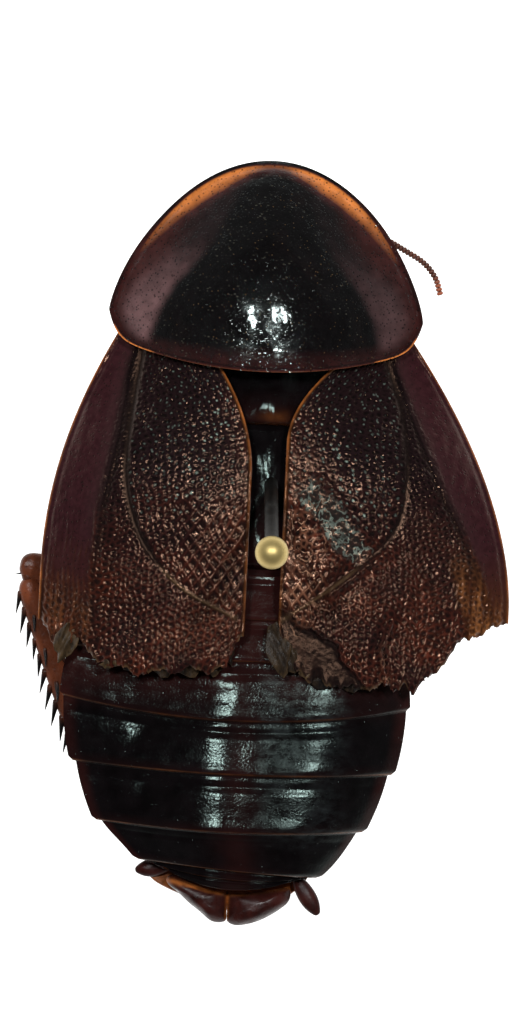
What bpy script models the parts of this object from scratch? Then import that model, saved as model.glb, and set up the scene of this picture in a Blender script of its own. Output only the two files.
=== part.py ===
"""A pinned museum specimen of a broad, short-winged cockroach, life size.

Lengths are written in millimetres and become metres where each mesh is made. The head points along -Y,
the back is up, and the animal's own left is +X. Heights of the animal are counted from the level of its
side margins. The origin is the middle of the stand's underside.
"""

import math
import random

import bmesh
import bpy
from mathutils import Matrix, Vector
from mathutils.geometry import delaunay_2d_cdt, intersect_point_line

MM = 0.001
GAP = 0.3  # between neighbouring plates and limbs
PLATE = 0.5  # thickness of the neck shield and the wing cases
ROUND_END = 0.12  # how long the rounded end of a leg joint is
BODY_Z = 26.0  # level of the body's side margins above the stand's underside

# the body leans a little: the midline of the shield and that of the abdomen lie apart
SHIELD_MIDLINE = -0.2
ABDOMEN_MIDLINE = 0.28
MIDLINE_FROM, MIDLINE_TO = -5.0, 5.0

SHIELD_FRONT, SHIELD_WIDEST, SHIELD_REAR = -13.1, -7.3, -5.2
SHIELD_HALF_WIDTH = 5.83
SHIELD_HEIGHT = 2.3

PIN_LEAN_BACK = math.radians(13.7)
PIN_LEAN_RIGHT = math.radians(0.7)
PIN_RADIUS = 0.25
PIN_HEAD_RADIUS = 0.6
PIN_LENGTH = 38.0
PIN_ABOVE_BACK = 10.45
PIN_ENTRY = Vector((-0.68, -1.1, 1.4))

BASE_SIZE = Vector((11.0, 21.0, 6.0))
BASE_CORNER = 3.0
BASE_EDGE = 0.5  # how far the top edge is taken off
BASE_FOOT = 0.35  # the same at the underside

MATERIALS = {
    "black_cuticle": ((0.028, 0.016, 0.013), 0.25, 0.0),
    "shield_cuticle": ((0.045, 0.020, 0.014), 0.22, 0.0),
    "wing_case": ((0.095, 0.032, 0.020), 0.35, 0.0),
    "leg_cuticle": ((0.170, 0.060, 0.024), 0.32, 0.0),
    "tail_cuticle": ((0.120, 0.030, 0.018), 0.28, 0.0),
    "eye": ((0.020, 0.014, 0.012), 0.15, 0.0),
    "antenna": ((0.240, 0.110, 0.040), 0.45, 0.0),
    "brass": ((0.640, 0.500, 0.220), 0.30, 1.0),
    "white_paint": ((0.860, 0.850, 0.820), 0.90, 0.0),
}


# ways of measuring and of making meshes


def smooth(t):
    t = min(1.0, max(0.0, t))
    return t * t * (3.0 - 2.0 * t)


def mix(a, b, t):
    return a + (b - a) * t


def between(stations, y):
    """The value at y of a list of (y, value) pairs, straight between them."""
    for (y0, a), (y1, b) in zip(stations, stations[1:]):
        if y <= y1:
            return mix(a, b, max(0.0, (y - y0) / (y1 - y0)))
    return stations[-1][1]


def midline(y):
    return mix(SHIELD_MIDLINE, ABDOMEN_MIDLINE, smooth((y - MIDLINE_FROM) / (MIDLINE_TO - MIDLINE_FROM)))


def beside(side, offset, y, z):
    """A point at a distance from the midline, on the left for side 1 and on the right for side -1."""
    return Vector((midline(y) + side * offset, y, z))


def clear_scene():
    for obj in list(bpy.data.objects):
        bpy.data.objects.remove(obj)


def material(name):
    found = bpy.data.materials.get(name)
    if found:
        return found
    colour, roughness, metallic = MATERIALS[name]
    made = bpy.data.materials.new(name)
    made.use_nodes = True
    shader = made.node_tree.nodes["Principled BSDF"]
    shader.inputs["Base Color"].default_value = (*colour, 1.0)
    shader.inputs["Roughness"].default_value = roughness
    shader.inputs["Metallic"].default_value = metallic
    return made


def add_mesh(name, shape, finish, lift=BODY_Z):
    """An object from (points, faces) in millimetres, lifted to the animal's level."""
    points, faces = shape
    built = bmesh.new()
    verts = [built.verts.new((Vector(p) + Vector((0, 0, lift))) * MM) for p in points]
    for face in faces:
        built.faces.new([verts[i] for i in face])
    bmesh.ops.recalc_face_normals(built, faces=built.faces)
    bmesh.ops.triangulate(built, faces=built.faces)
    mesh = bpy.data.meshes.new(name)
    built.to_mesh(mesh)
    built.free()
    mesh.shade_smooth()
    mesh.set_sharp_from_angle(angle=math.radians(40))
    mesh.materials.append(material(finish))
    obj = bpy.data.objects.new(name, mesh)
    bpy.context.scene.collection.objects.link(obj)
    return obj


def keep_largest_body(obj):
    """Leaves only the closed surface that holds the most, so that no scrap or sealed hollow stays."""
    shape = bmesh.new()
    shape.from_mesh(obj.data)
    unseen = set(shape.verts)
    bodies = []
    while unseen:
        queue = [unseen.pop()]
        body = set(queue)
        while queue:
            for edge in queue.pop().link_edges:
                for vert in edge.verts:
                    if vert in unseen:
                        unseen.remove(vert)
                        body.add(vert)
                        queue.append(vert)
        bodies.append(body)
    largest = max(bodies, key=body_size)
    scraps = [vert for body in bodies if body is not largest for vert in body]
    bmesh.ops.delete(shape, geom=scraps, context="VERTS")
    shape.to_mesh(obj.data)
    shape.free()


def body_size(body):
    faces = {face for vert in body for face in vert.link_faces}
    return sum(f.verts[0].co.dot(f.verts[1].co.cross(f.verts[2].co)) for f in faces)


def apply_boolean(obj, operation, others):
    """Joins the others to obj, or cuts them out of it, and removes them."""
    group = bpy.data.collections.new("pieces")
    bpy.context.scene.collection.children.link(group)
    for other in others:
        group.objects.link(other)
    modifier = obj.modifiers.new(operation.lower(), "BOOLEAN")
    modifier.operation = operation
    modifier.operand_type = "COLLECTION"
    modifier.collection = group
    modifier.solver = "MANIFOLD"
    bpy.context.view_layer.objects.active = obj
    bpy.ops.object.modifier_apply(modifier=modifier.name)
    for other in others:
        bpy.data.objects.remove(other)
    bpy.data.collections.remove(group)
    keep_largest_body(obj)
    return obj


def loft(rings, first=None, last=None):
    """A closed skin over rings of points. It ends in the points first and last, or in a flat cap."""
    count = len(rings[0])
    points = [p for ring in rings for p in ring]
    faces = []
    for k in range(len(rings) - 1):
        for i in range(count):
            j = (i + 1) % count
            faces.append((k * count + i, k * count + j, (k + 1) * count + j, (k + 1) * count + i))
    for start, tip in ((0, first), ((len(rings) - 1) * count, last)):
        if tip is None:
            tip = sum((Vector(p) for p in points[start:start + count]), Vector()) / count
        points.append(tip)
        centre = len(points) - 1
        faces += [(start + i, start + (i + 1) % count, centre) for i in range(count)]
    return points, faces


def smooth_path(stops, steps):
    """Points along a smooth curve through the stops."""
    stops = [Vector(p) for p in stops]
    ends = [stops[0] * 2 - stops[1], *stops, stops[-1] * 2 - stops[-2]]
    path = []
    for k in range(1, len(ends) - 2):
        p0, p1, p2, p3 = ends[k - 1:k + 3]
        for i in range(steps):
            t = i / steps
            path.append(
                0.5 * (2 * p1 + (p2 - p0) * t + (2 * p0 - 5 * p1 + 4 * p2 - p3) * t * t
                       + (3 * p1 - p0 - 3 * p2 + p3) * t ** 3)
            )
    return path + [stops[-1]]


def limb(path, sizes, sides=8, flat_side=Vector((0, 0, 1)), rounded=0.35):
    """A skin along a path. sizes holds (share of the length, half width, half thickness), the half
    thickness lying along flat_side. Both ends are rounded off over the given length."""
    path = [Vector(p) for p in path]
    reach = [0.0]
    for a, b in zip(path, path[1:]):
        reach.append(reach[-1] + (b - a).length)
    rings = []
    for k, point in enumerate(path):
        along = (path[min(k + 1, len(path) - 1)] - path[max(k - 1, 0)]).normalized()
        across = along.cross(flat_side).normalized()
        up = across.cross(along).normalized()
        share = reach[k] / reach[-1]
        wide = between([(s, w) for s, w, _ in sizes], share)
        thick = between([(s, t) for s, _, t in sizes], share)
        rings.append([
            point + across * (wide * math.cos(a)) + up * (thick * math.sin(a))
            for a in (2 * math.pi * i / sides for i in range(sides))
        ])
    start = (path[0] - path[1]).normalized()
    end = (path[-1] - path[-2]).normalized()
    return loft(rings, path[0] + start * rounded, path[-1] + end * rounded)


def fusiform(start, end, sizes, sides=8, flat_side=Vector((0, 0, 1))):
    """A straight limb whose end caps stay inside the stated ends."""
    start, end = Vector(start), Vector(end)
    inset = ROUND_END
    way = (end - start).normalized()
    path = [start + way * inset + (end - start - way * 2 * inset) * s for s, _, _ in sizes]
    return limb(path, sizes, sides, flat_side, inset)


def spine(name, root, tip, radius):
    """A thorn from inside what it grows from to its tip."""
    root, tip = Vector(root), Vector(tip)
    way = (tip - root).normalized()
    across = way.orthogonal().normalized()
    up = way.cross(across)
    sides = 5
    rings = [
        [
            root + way * (tip - root).length * share
            + (across * math.cos(a) + up * math.sin(a)) * radius * size
            for a in (2 * math.pi * i / sides for i in range(sides))
        ]
        for share, size in ((0.0, 1.0), (0.6, 0.55))
    ]
    return add_mesh(name, loft(rings, root, tip), "black_cuticle")


def slab(outline, lines, inner, top, thickness):
    """A plate over a plan outline, with its top at top(x, y). lines are crests that the facets keep to,
    and both faces are split into the same triangles."""
    flat = [Vector(p[:2]) for p in outline]
    edges = []
    for line in lines:
        first = len(flat)
        flat += [Vector(p[:2]) for p in line]
        edges += [(i, i + 1) for i in range(first, len(flat) - 1)]
    flat += [Vector(p[:2]) for p in inner]
    found = delaunay_2d_cdt(flat, edges, [list(range(len(outline)))], 1, 1e-5)
    plan, triangles = found[0], [tuple(f) for f in found[2]]
    count = len(plan)
    points = [Vector((p.x, p.y, top(p.x, p.y))) for p in plan]
    points += [Vector((p.x, p.y, top(p.x, p.y) - thickness(p.x, p.y))) for p in plan]
    used = {}
    for face in triangles:
        for i in range(3):
            key = frozenset((face[i], face[(i + 1) % 3]))
            used.setdefault(key, []).append((face[i], face[(i + 1) % 3]))
    faces = list(triangles) + [tuple(i + count for i in reversed(f)) for f in triangles]
    for sides in used.values():
        if len(sides) == 1:
            a, b = sides[0]
            faces.append((b, a, a + count, b + count))
    return points, faces


def section(x, y_of, half_width, top, bottom, edge_top=0.05, edge_bottom=-0.4, power=2.4, count=15):
    """A body ring: a domed back and belly that meet in a blunt side margin."""
    shares = [-math.cos(math.pi * i / (count - 1)) for i in range(count)]
    back = [
        (x - half_width * s, y_of(s), edge_top + (top - edge_top) * (1 - abs(s) ** power))
        for s in shares
    ]
    belly = [
        (x + half_width * 0.97 * s, y_of(s), edge_bottom + (bottom - edge_bottom) * (1 - abs(s) ** power))
        for s in shares
    ]
    return [Vector(p) for p in back + belly]


# the neck shield


def shield_front(offset):
    share = min(1.0, abs(offset) / SHIELD_HALF_WIDTH)
    return SHIELD_WIDEST + (SHIELD_FRONT - SHIELD_WIDEST) * (1 - share ** 2) ** (1 / 1.4)


def shield_rear(offset):
    share = min(1.0, abs(offset) / SHIELD_HALF_WIDTH)
    return SHIELD_REAR - 1.12 * share ** 2 - 0.98 * share ** 20


def shield_top(x, y):
    """Height of the shield: a dome with flatter side lobes, falling to the front margin."""
    depth = max(0.0, (SHIELD_WIDEST - y) / (SHIELD_WIDEST - SHIELD_FRONT))
    half_width = SHIELD_HALF_WIDTH * math.sqrt(1 - min(1.0, depth) ** 1.4)
    share = min(1.0, abs(x - SHIELD_MIDLINE) / max(half_width, 0.01))
    across = 0.55 * (1 - share ** 2) + 0.45 * math.cos(math.pi / 2 * share) ** 2
    back = min(1.0, max(0.0, (y - SHIELD_FRONT) / (SHIELD_REAR - SHIELD_FRONT)))
    rise = math.sin(math.pi / 2 * min(1.0, back / 0.75)) ** 0.9
    rise -= 0.06 * max(0.0, (back - 0.75) / 0.25) ** 2
    return mix(-0.5, 0.1, back) + SHIELD_HEIGHT * rise * across


def shield_outline(count):
    half = count // 2
    turns = [math.sin(math.pi * (i / half - 0.5)) for i in range(half + 1)]
    front = [(SHIELD_MIDLINE + SHIELD_HALF_WIDTH * t, shield_front(SHIELD_HALF_WIDTH * t)) for t in turns]
    rear = [
        (SHIELD_MIDLINE - SHIELD_HALF_WIDTH * t, shield_rear(SHIELD_HALF_WIDTH * t)) for t in turns[1:-1]
    ]
    return front + rear


def make_shield():
    outline = shield_outline(44)
    middle = Vector((SHIELD_MIDLINE, SHIELD_WIDEST - 1.0))
    inner = [middle]
    for share, every in ((0.93, 1), (0.8, 1), (0.62, 2), (0.42, 2), (0.2, 4)):
        inner += [middle.lerp(Vector(p), share) for p in outline[::every]]
    return add_mesh("pronotum", slab(outline, [], inner, shield_top, lambda x, y: PLATE), "shield_cuticle")


# the wing cases


WINGS = {
    "left": {
        "side": 1,
        "costa_widest": 7.72, "costa_at": 2.6, "costa_bend": 0.0268, "costa_power": 2.05,
        "inner": 0.05, "inner_from": -1.4, "inner_bend": 0.085,
        "front": [(5.0, -6.95), (4.0, -6.7), (3.0, -6.45), (2.1, -6.2)],
        "torn": [
            (7.60, 4.30), (7.36, 4.62), (7.22, 5.00), (7.00, 5.22), (6.85, 5.72), (6.52, 5.20),
            (6.20, 4.80), (5.85, 5.30), (5.42, 5.72), (5.00, 5.86), (4.45, 5.80), (3.90, 6.24),
            (3.45, 5.98), (3.00, 5.92), (2.45, 6.05), (2.00, 5.70), (1.30, 6.02), (0.95, 5.70),
            (0.62, 5.74), (0.72, 5.20), (0.45, 4.55),
        ],
        "furrow": [(4.30, -5.9), (4.62, -3.2), (4.68, -1.0), (4.02, 1.12), (2.55, 2.79), (0.60, 3.72)],
        "veins": [
            [(4.75, -5.3), (5.15, -2.5), (5.62, 0.0), (5.77, 2.4), (5.62, 4.6)],
            [(5.25, 0.6), (5.15, 2.6), (5.00, 5.2)],
            [(4.72, 0.9), (4.30, 3.2), (4.00, 5.4)],
            [(3.85, 2.2), (3.35, 3.8), (3.00, 5.3)],
            [(2.75, 3.4), (2.20, 4.4), (1.85, 5.1)],
            [(3.65, -5.3), (3.85, -2.6), (3.55, -0.4), (2.80, 1.5)],
            [(3.00, -5.2), (3.10, -2.4), (2.75, 0.0), (1.95, 2.1)],
            [(2.30, -5.1), (2.25, -2.2), (1.85, 0.4), (1.20, 2.6)],
            [(1.65, -4.6), (1.40, -2.0), (1.05, 0.6), (0.62, 2.6)],
        ],
    },
    "right": {
        "side": -1,
        "costa_widest": 9.70, "costa_at": 3.2, "costa_bend": 0.066, "costa_power": 1.796,
        "inner": 1.18, "inner_from": -2.6, "inner_bend": 0.19,
        "front": [(-5.5, -6.95), (-4.6, -6.75), (-3.8, -6.5), (-3.2, -6.2)],
        "torn": [
            (-9.60, 3.66), (-9.28, 3.74), (-8.96, 3.88), (-8.62, 4.18), (-8.02, 4.30), (-7.62, 4.74),
            (-7.46, 5.16), (-7.20, 5.50), (-6.86, 5.66), (-6.46, 6.10), (-6.28, 6.38), (-5.95, 6.05),
            (-5.60, 6.28), (-5.10, 6.08), (-4.60, 6.36), (-3.95, 6.18), (-3.30, 6.30), (-2.70, 5.98),
            (-2.42, 6.14), (-2.00, 5.76), (-1.62, 5.62), (-1.25, 5.80), (-0.78, 5.84), (-0.84, 5.10),
            (-0.95, 4.40), (-1.10, 3.70),
        ],
        "furrow": [(-4.72, -5.9), (-5.50, -3.4), (-5.66, -1.0), (-5.20, 0.6), (-3.43, 2.35), (-1.60, 3.60)],
        "veins": [
            [(-5.15, -5.4), (-6.15, -2.9), (-7.05, -0.6), (-7.45, 1.6), (-7.40, 3.8)],
            [(-6.25, -0.5), (-6.70, 1.9), (-6.62, 4.9)],
            [(-5.85, 1.0), (-5.75, 3.2), (-5.60, 5.6)],
            [(-4.85, 2.1), (-4.55, 3.8), (-4.40, 5.6)],
            [(-3.50, 3.2), (-3.20, 4.3), (-3.05, 5.4)],
            [(-4.25, -5.4), (-4.85, -2.8), (-4.80, -0.6), (-4.20, 1.0)],
            [(-3.70, -5.3), (-4.05, -2.6), (-3.90, -0.3), (-3.20, 1.6)],
            [(-3.15, -5.2), (-3.25, -2.4), (-3.00, 0.2), (-2.30, 2.3)],
            [(-2.40, -4.3), (-2.35, -2.0), (-2.15, 0.4), (-1.70, 2.4)],
        ],
    },
}
VEIN_HEIGHT = 0.12
VEIN_HALF_WIDTH = 0.16
FURROW_DEPTH = 0.12
RIM_CLEARANCE = 0.22  # how near to the margin a vein's crest may end
GRID_STEP = 1.25  # between the points of the plain stretches
GRID_CLEARANCE = 0.5


def costa(wing, y):
    """Where the outer margin of a wing case lies."""
    bend = wing["costa_bend"] * max(0.0, wing["costa_at"] - y) ** wing["costa_power"]
    return wing["side"] * (wing["costa_widest"] - bend)


def inner_margin(wing, y):
    bend = wing["inner_bend"] * max(0.0, wing["inner_from"] - y) ** 2
    return wing["inner"] + bend if wing["side"] > 0 else -wing["inner"] - bend


def wing_outline(wing):
    front_y = wing["front"][0][1]
    torn_y = wing["torn"][0][1]
    rows = 18
    outer = [mix(front_y, torn_y, i / rows) for i in range(1, rows)]
    inner_start, inner_end = wing["torn"][-1][1], wing["front"][-1][1] + 0.35
    inner = [mix(inner_start, inner_end, i / 14) for i in range(1, 15)]
    return (
        [(costa(wing, y), y) for y in outer] + wing["torn"]
        + [(inner_margin(wing, y), y) for y in inner] + wing["front"][::-1]
    )


def wing_sheet(wing, x, y):
    """Height of a wing case without its veins: tucked under the shield, then domed over the back."""
    share = (x - inner_margin(wing, y)) / (costa(wing, y) - inner_margin(wing, y))
    share = min(1.0, max(0.0, share))
    outer = between([(-7.0, -0.75), (0.0, -0.05), (6.5, 0.3)], y)
    dome = mix(2.25, outer, share ** 2.4)
    offset = x - SHIELD_MIDLINE
    edge = shield_rear(offset)
    tucked = shield_top(x, min(y, edge)) - PLATE - GAP
    return mix(tucked, dome, smooth((y - edge - 0.25) / 2.3))


def nearest(point, line):
    best = 1e9
    for a, b in zip(line, line[1:]):
        near, share = intersect_point_line(point, a, b)
        near = a if share < 0 else b if share > 1 else near
        best = min(best, (Vector(near[:2]) - point).length)
    return best


def plan_path(stops, steps):
    return [Vector(p[:2]) for p in smooth_path([Vector((*s, 0.0)) for s in stops], steps)]


def make_wing(name):
    wing = WINGS[name]
    outline = [Vector(p) for p in wing_outline(wing)]
    closed = outline + [outline[0]]
    veins = [plan_path(stops, 3) for stops in wing["veins"]]
    furrow = plan_path(wing["furrow"], 3)
    lines = []
    for line in veins + [furrow]:
        for shift in (-VEIN_HALF_WIDTH, 0.0, VEIN_HALF_WIDTH):
            run = []
            for k, point in enumerate(line):
                way = (line[min(k + 1, len(line) - 1)] - line[max(k - 1, 0)]).normalized()
                moved = point + Vector((-way.y, way.x)) * shift
                if nearest(moved, closed) > RIM_CLEARANCE:
                    run.append(moved)
            lines.append(run)
    inner = []
    for point in plan_grid(outline, GRID_STEP):
        if min(nearest(point, line) for line in [closed, furrow] + veins) > GRID_CLEARANCE:
            inner.append(point)

    def top(x, y):
        here = Vector((x, y))
        rise = max(VEIN_HEIGHT * (1 - nearest(here, line) / VEIN_HALF_WIDTH) for line in veins)
        dip = FURROW_DEPTH * (1 - nearest(here, furrow) / VEIN_HALF_WIDTH)
        return wing_sheet(wing, x, y) + max(0.0, rise) - max(0.0, dip)

    return add_mesh("tegmen_" + name, slab(outline, lines, inner, top, lambda x, y: PLATE), "wing_case")


def plan_grid(outline, step):
    """Points on a grid that lie inside an outline."""
    xs = [p.x for p in outline]
    ys = [p.y for p in outline]
    found = []
    for i in range(int((max(xs) - min(xs)) / step) + 1):
        for j in range(int((max(ys) - min(ys)) / step) + 1):
            point = Vector((min(xs) + i * step, min(ys) + j * step))
            if inside(point, outline):
                found.append(point)
    return found


def inside(point, outline):
    odd = False
    for a, b in zip(outline, outline[1:] + outline[:1]):
        if (a.y > point.y) != (b.y > point.y):
            if point.x < a.x + (b.x - a.x) * (point.y - a.y) / (b.y - a.y):
                odd = not odd
    return odd


# head, thorax and abdomen


HEAD_TOP = Vector((SHIELD_MIDLINE, -11.6, -0.85))
HEAD_MOUTH = Vector((SHIELD_MIDLINE, -9.95, -3.85))
HEAD_PROFILE = [  # share of the length, half width, half depth
    (0.0, 0.75, 0.50), (0.1, 1.12, 0.74), (0.25, 1.32, 0.90), (0.45, 1.36, 0.94), (0.62, 1.20, 0.86),
    (0.76, 1.00, 0.74), (0.88, 0.84, 0.56), (1.0, 0.62, 0.36),
]


def face_normal():
    """Out of the face, forwards and down."""
    down = (HEAD_MOUTH - HEAD_TOP).normalized()
    out = Vector((1, 0, 0)).cross(down)
    return out if out.y < 0 else -out


def on_head(share, aside, out):
    """A point by its share of the way down the face, its distance aside and how far out of the face."""
    return HEAD_TOP.lerp(HEAD_MOUTH, share) + Vector((aside, 0, 0)) + face_normal() * out


def make_head():
    """The skull with its upper lip, two jaws and the short feelers of the lower lip."""
    path = [HEAD_TOP.lerp(HEAD_MOUTH, s) for s, _, _ in HEAD_PROFILE]
    skull = add_mesh("head", limb(path, HEAD_PROFILE, 16, face_normal(), 0.16), "black_cuticle")
    mouthparts = []
    for side in (1, -1):
        jaw = fusiform(
            on_head(0.86, side * 0.62, 0.12), on_head(1.06, side * 0.22, 0.16),
            [(0.0, 0.32, 0.26), (0.5, 0.34, 0.28), (1.0, 0.2, 0.2)],
        )
        mouthparts.append(add_mesh("jaw", jaw, "black_cuticle"))
        stops = (0.9, 0.3, -0.2), (1.12, 0.5, -0.3), (1.24, 0.72, 0.1)
        path = smooth_path([on_head(share, side * aside, out) for share, aside, out in stops], 2)
        feeler = limb(path, [(0.0, 0.25, 0.25), (1.0, 0.2, 0.2)], 6)
        mouthparts.append(add_mesh("lip_feeler", feeler, "leg_cuticle"))
    upper_lip = fusiform(
        on_head(0.84, 0.0, 0.3), on_head(1.08, 0.0, 0.34),
        [(0.0, 0.5, 0.25), (0.6, 0.46, 0.25), (1.0, 0.3, 0.2)], 8, face_normal(),
    )
    mouthparts.append(add_mesh("upper_lip", upper_lip, "leg_cuticle"))
    return apply_boolean(skull, "UNION", mouthparts)


def make_eye(side, name):
    centre = on_head(0.3, side * 1.9, 0.12)
    down = (HEAD_MOUTH - HEAD_TOP).normalized()
    built = bmesh.new()
    bmesh.ops.create_uvsphere(built, u_segments=12, v_segments=8, radius=1.0)
    turn = Matrix((Vector((1, 0, 0)), face_normal(), down)).transposed()
    points = [centre + turn @ Vector((v.co.x * 0.27, v.co.y * 0.5, v.co.z * 0.78)) for v in built.verts]
    faces = [tuple(v.index for v in f.verts) for f in built.faces]
    built.free()
    return add_mesh(name, (points, faces), "eye")


ANTENNAE = {
    "antenna_left": [
        (0.62, -12.15, -2.55), (1.70, -12.10, -2.45), (2.75, -11.45, -2.1), (3.55, -10.4, -1.75),
        (3.95, -9.3, -1.55), (4.10, -8.2, -1.45), (4.05, -7.2, -1.4),
    ],
    "antenna_right": [
        (-1.05, -12.15, -2.55), (-2.10, -12.05, -2.4), (-3.25, -11.35, -1.9), (-4.30, -10.55, -1.45),
        (-5.10, -10.10, -1.2), (-5.94, -9.61, -1.1), (-6.42, -9.05, -1.05), (-6.66, -8.36, -1.05),
    ],
}


def make_antenna(name):
    """A bead-jointed feeler. Its beads are rings of one skin."""
    path = smooth_path(ANTENNAE[name], 6)
    beads = len(path)
    sizes = []
    for k in range(beads):
        share = k / (beads - 1)
        radius = mix(0.3, 0.22, smooth(share * 1.4)) * (1.12 if k % 2 else 0.9)
        sizes.append((share, radius, radius))
    return add_mesh(name, limb(path, sizes, 6, rounded=0.14), "antenna")


def make_palp(side, name):
    """A jaw feeler of five joints."""
    stops = [(1.25, -9.75, -3.8), (1.75, -10.35, -4.15), (1.85, -11.1, -4.05), (1.6, -11.8, -3.75)]
    path = smooth_path([(SHIELD_MIDLINE + side * x, y, z) for x, y, z in stops], 4)
    sizes = [(k / 12, *(2 * [0.28 if k % 3 == 1 else 0.22])) for k in range(13)]
    return add_mesh(name, limb(path, sizes, 6, rounded=0.12), "leg_cuticle")


def make_prothorax():
    rings = []
    for y, half_width, top, bottom in (
        (-9.72, 0.7, -0.4, -1.5), (-9.3, 1.7, 0.6, -1.6), (-8.4, 2.7, 1.2, -1.65), (-7.3, 3.0, 1.4, -1.65),
        (-6.5, 2.9, 1.35, -1.65), (-6.1, 2.6, 1.1, -1.6),
    ):
        rings.append(section(midline(y), lambda s, y=y: y, half_width, top, bottom, -0.2, -0.7, 2.2, 11))
    return add_mesh("prothorax", loft(rings), "black_cuticle")


def thorax_ring(y, half_width, top, bottom, ridge):
    """A thorax ring with a raised middle, as wide as the strip that shows between the wing cases."""
    ring = section(midline(y), lambda s: y, half_width, top, bottom, -0.9, -1.3, 2.2, 21)
    middle = -0.5
    for point in ring[:21]:
        point.z += ridge * math.exp(-((point.x - middle) / 1.15) ** 4)
    return ring


def make_mesothorax():
    rings = [
        thorax_ring(*row) for row in (
            (-5.8, 3.3, 0.15, -1.9, 0.0), (-5.3, 3.7, 0.25, -2.0, 0.35), (-4.6, 3.9, 0.45, -2.0, 0.75),
            (-3.9, 4.0, 0.70, -2.0, 0.65), (-3.5, 4.0, 0.85, -2.0, 0.45), (-3.2, 3.9, 0.80, -2.0, 0.2),
        )
    ]
    return add_mesh("mesothorax", loft(rings), "black_cuticle")


def make_metathorax():
    rings = [
        thorax_ring(*row) for row in (
            (-2.9, 3.9, 0.95, -2.0, 0.2), (-2.0, 4.1, 1.1, -2.05, 0.28), (-0.8, 4.3, 1.2, -2.05, 0.2),
            (0.6, 4.4, 1.25, -2.05, 0.15), (1.5, 4.4, 1.25, -2.0, 0.1), (2.0, 4.3, 1.2, -1.95, 0.0),
        )
    ]
    body = add_mesh("metathorax", loft(rings), "black_cuticle")
    return apply_boolean(body, "DIFFERENCE", [pin_channel()])


# back plates: y of the hind corners, half widths there and of the next one, how far the middle lies behind
PLATES = [
    (3.75, 5.95, 5.85, 0.20), (5.15, 6.30, 6.20, 0.35), (7.04, 6.50, 6.36, 0.68),
    (9.45, 6.04, 5.78, 0.25), (11.62, 5.05, 4.72, 0.22), (13.20, 3.42, 2.55, 0.06),
    (13.30, 2.45, 2.20, 0.30), (13.40, 1.90, None, 0.50),
]
ABDOMEN_FRONT, ABDOMEN_FRONT_WIDE = 2.3, 4.7
BACK_HEIGHT = [(2.3, 1.2), (5.0, 1.3), (8.0, 1.34), (10.0, 1.36), (11.6, 1.34), (13.2, 0.68), (14.0, 0.38)]
BELLY_HEIGHT = [(2.3, -1.9), (5.0, -2.1), (9.0, -2.0), (11.8, -1.75), (13.2, -1.4), (14.0, -1.0)]
PLATE_STEP = 0.2  # how far each plate stands over the next


def make_abdomen():
    """One solid with each back and belly plate raised as a step over the next."""
    rings = []
    front, half_width, bow = ABDOMEN_FRONT, ABDOMEN_FRONT_WIDE, 0.0
    for corner, rear_width, next_width, rear_bow in PLATES:
        for share in (0.0, 0.4, 0.75, 1.0):
            width = mix(half_width, rear_width, share) + 0.35 * share * (1 - share)
            rings.append(abdomen_ring(mix(front, corner, share), width, mix(bow, rear_bow, share), share))
        front, half_width, bow = corner + 0.04, next_width, rear_bow
    return add_mesh("abdomen", loft(rings), "black_cuticle")


def abdomen_ring(y, half_width, bow, share):
    """share is 0 where the plate comes out from under the one before and 1 at its raised hind edge."""
    raised = PLATE_STEP * share
    return section(
        midline(y), lambda s: y + bow * (1 - s * s), half_width, between(BACK_HEIGHT, y) + raised,
        between(BELLY_HEIGHT, y) - raised, 0.05 + raised * 0.4, -0.42 - raised * 0.2,
    )


TAIL_MIDDLE = 0.22
TAIL_OUTLINE = [
    (0.22, 14.22), (-0.60, 14.16), (-1.40, 14.08), (-2.00, 13.98), (-2.08, 14.12), (-2.00, 14.36),
    (-1.72, 14.62), (-1.35, 14.84), (-0.95, 15.03), (-0.53, 15.17), (-0.12, 15.23), (0.10, 15.16),
    (0.22, 15.06), (0.34, 15.12), (0.56, 15.14), (0.80, 15.10), (1.15, 14.84), (1.55, 14.50),
    (1.95, 14.16), (2.28, 13.88), (2.28, 13.72), (1.55, 13.90), (0.85, 14.12),
]


def make_tail_plate():
    """The plate over the tail end, of two convex lobes with a seam between them."""
    outline = [Vector(p) for p in TAIL_OUTLINE]
    crests = {side: [Vector((TAIL_MIDDLE + side * x, 14.66 - slope * x)) for x in (0.45, 0.95, 1.45)]
              for side, slope in ((1, 0.42), (-1, 0.22))}
    seam = [(TAIL_MIDDLE, 14.40), (TAIL_MIDDLE, 14.66), (TAIL_MIDDLE, 14.90)]

    def top(x, y):
        here = Vector((x, y))
        off_seam = smooth(abs(x - TAIL_MIDDLE) / 0.4)
        lobe = max(math.exp(-(nearest(here, line) / 0.42) ** 2) for line in crests.values())
        return -0.12 + 0.34 * lobe * off_seam

    shape = slab(outline, [seam, crests[1], crests[-1]], [], top, lambda x, y: PLATE)
    return add_mesh("supra_anal_plate", shape, "tail_cuticle")


CERCI = {
    "cercus_left": ((2.45, 13.66, -1.2), (3.62, 13.62, -1.1)),
    "cercus_right": ((-2.42, 13.70, -0.9), (-3.08, 14.68, -0.7)),
}


def make_cercus(name):
    start, end = CERCI[name]
    sizes = [(0.0, 0.24, 0.22), (0.3, 0.3, 0.26), (0.65, 0.31, 0.25), (1.0, 0.14, 0.14)]
    return add_mesh(name, fusiform(start, end, sizes), "tail_cuticle")


# legs: each joint is (distance from the midline, y, height)


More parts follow.
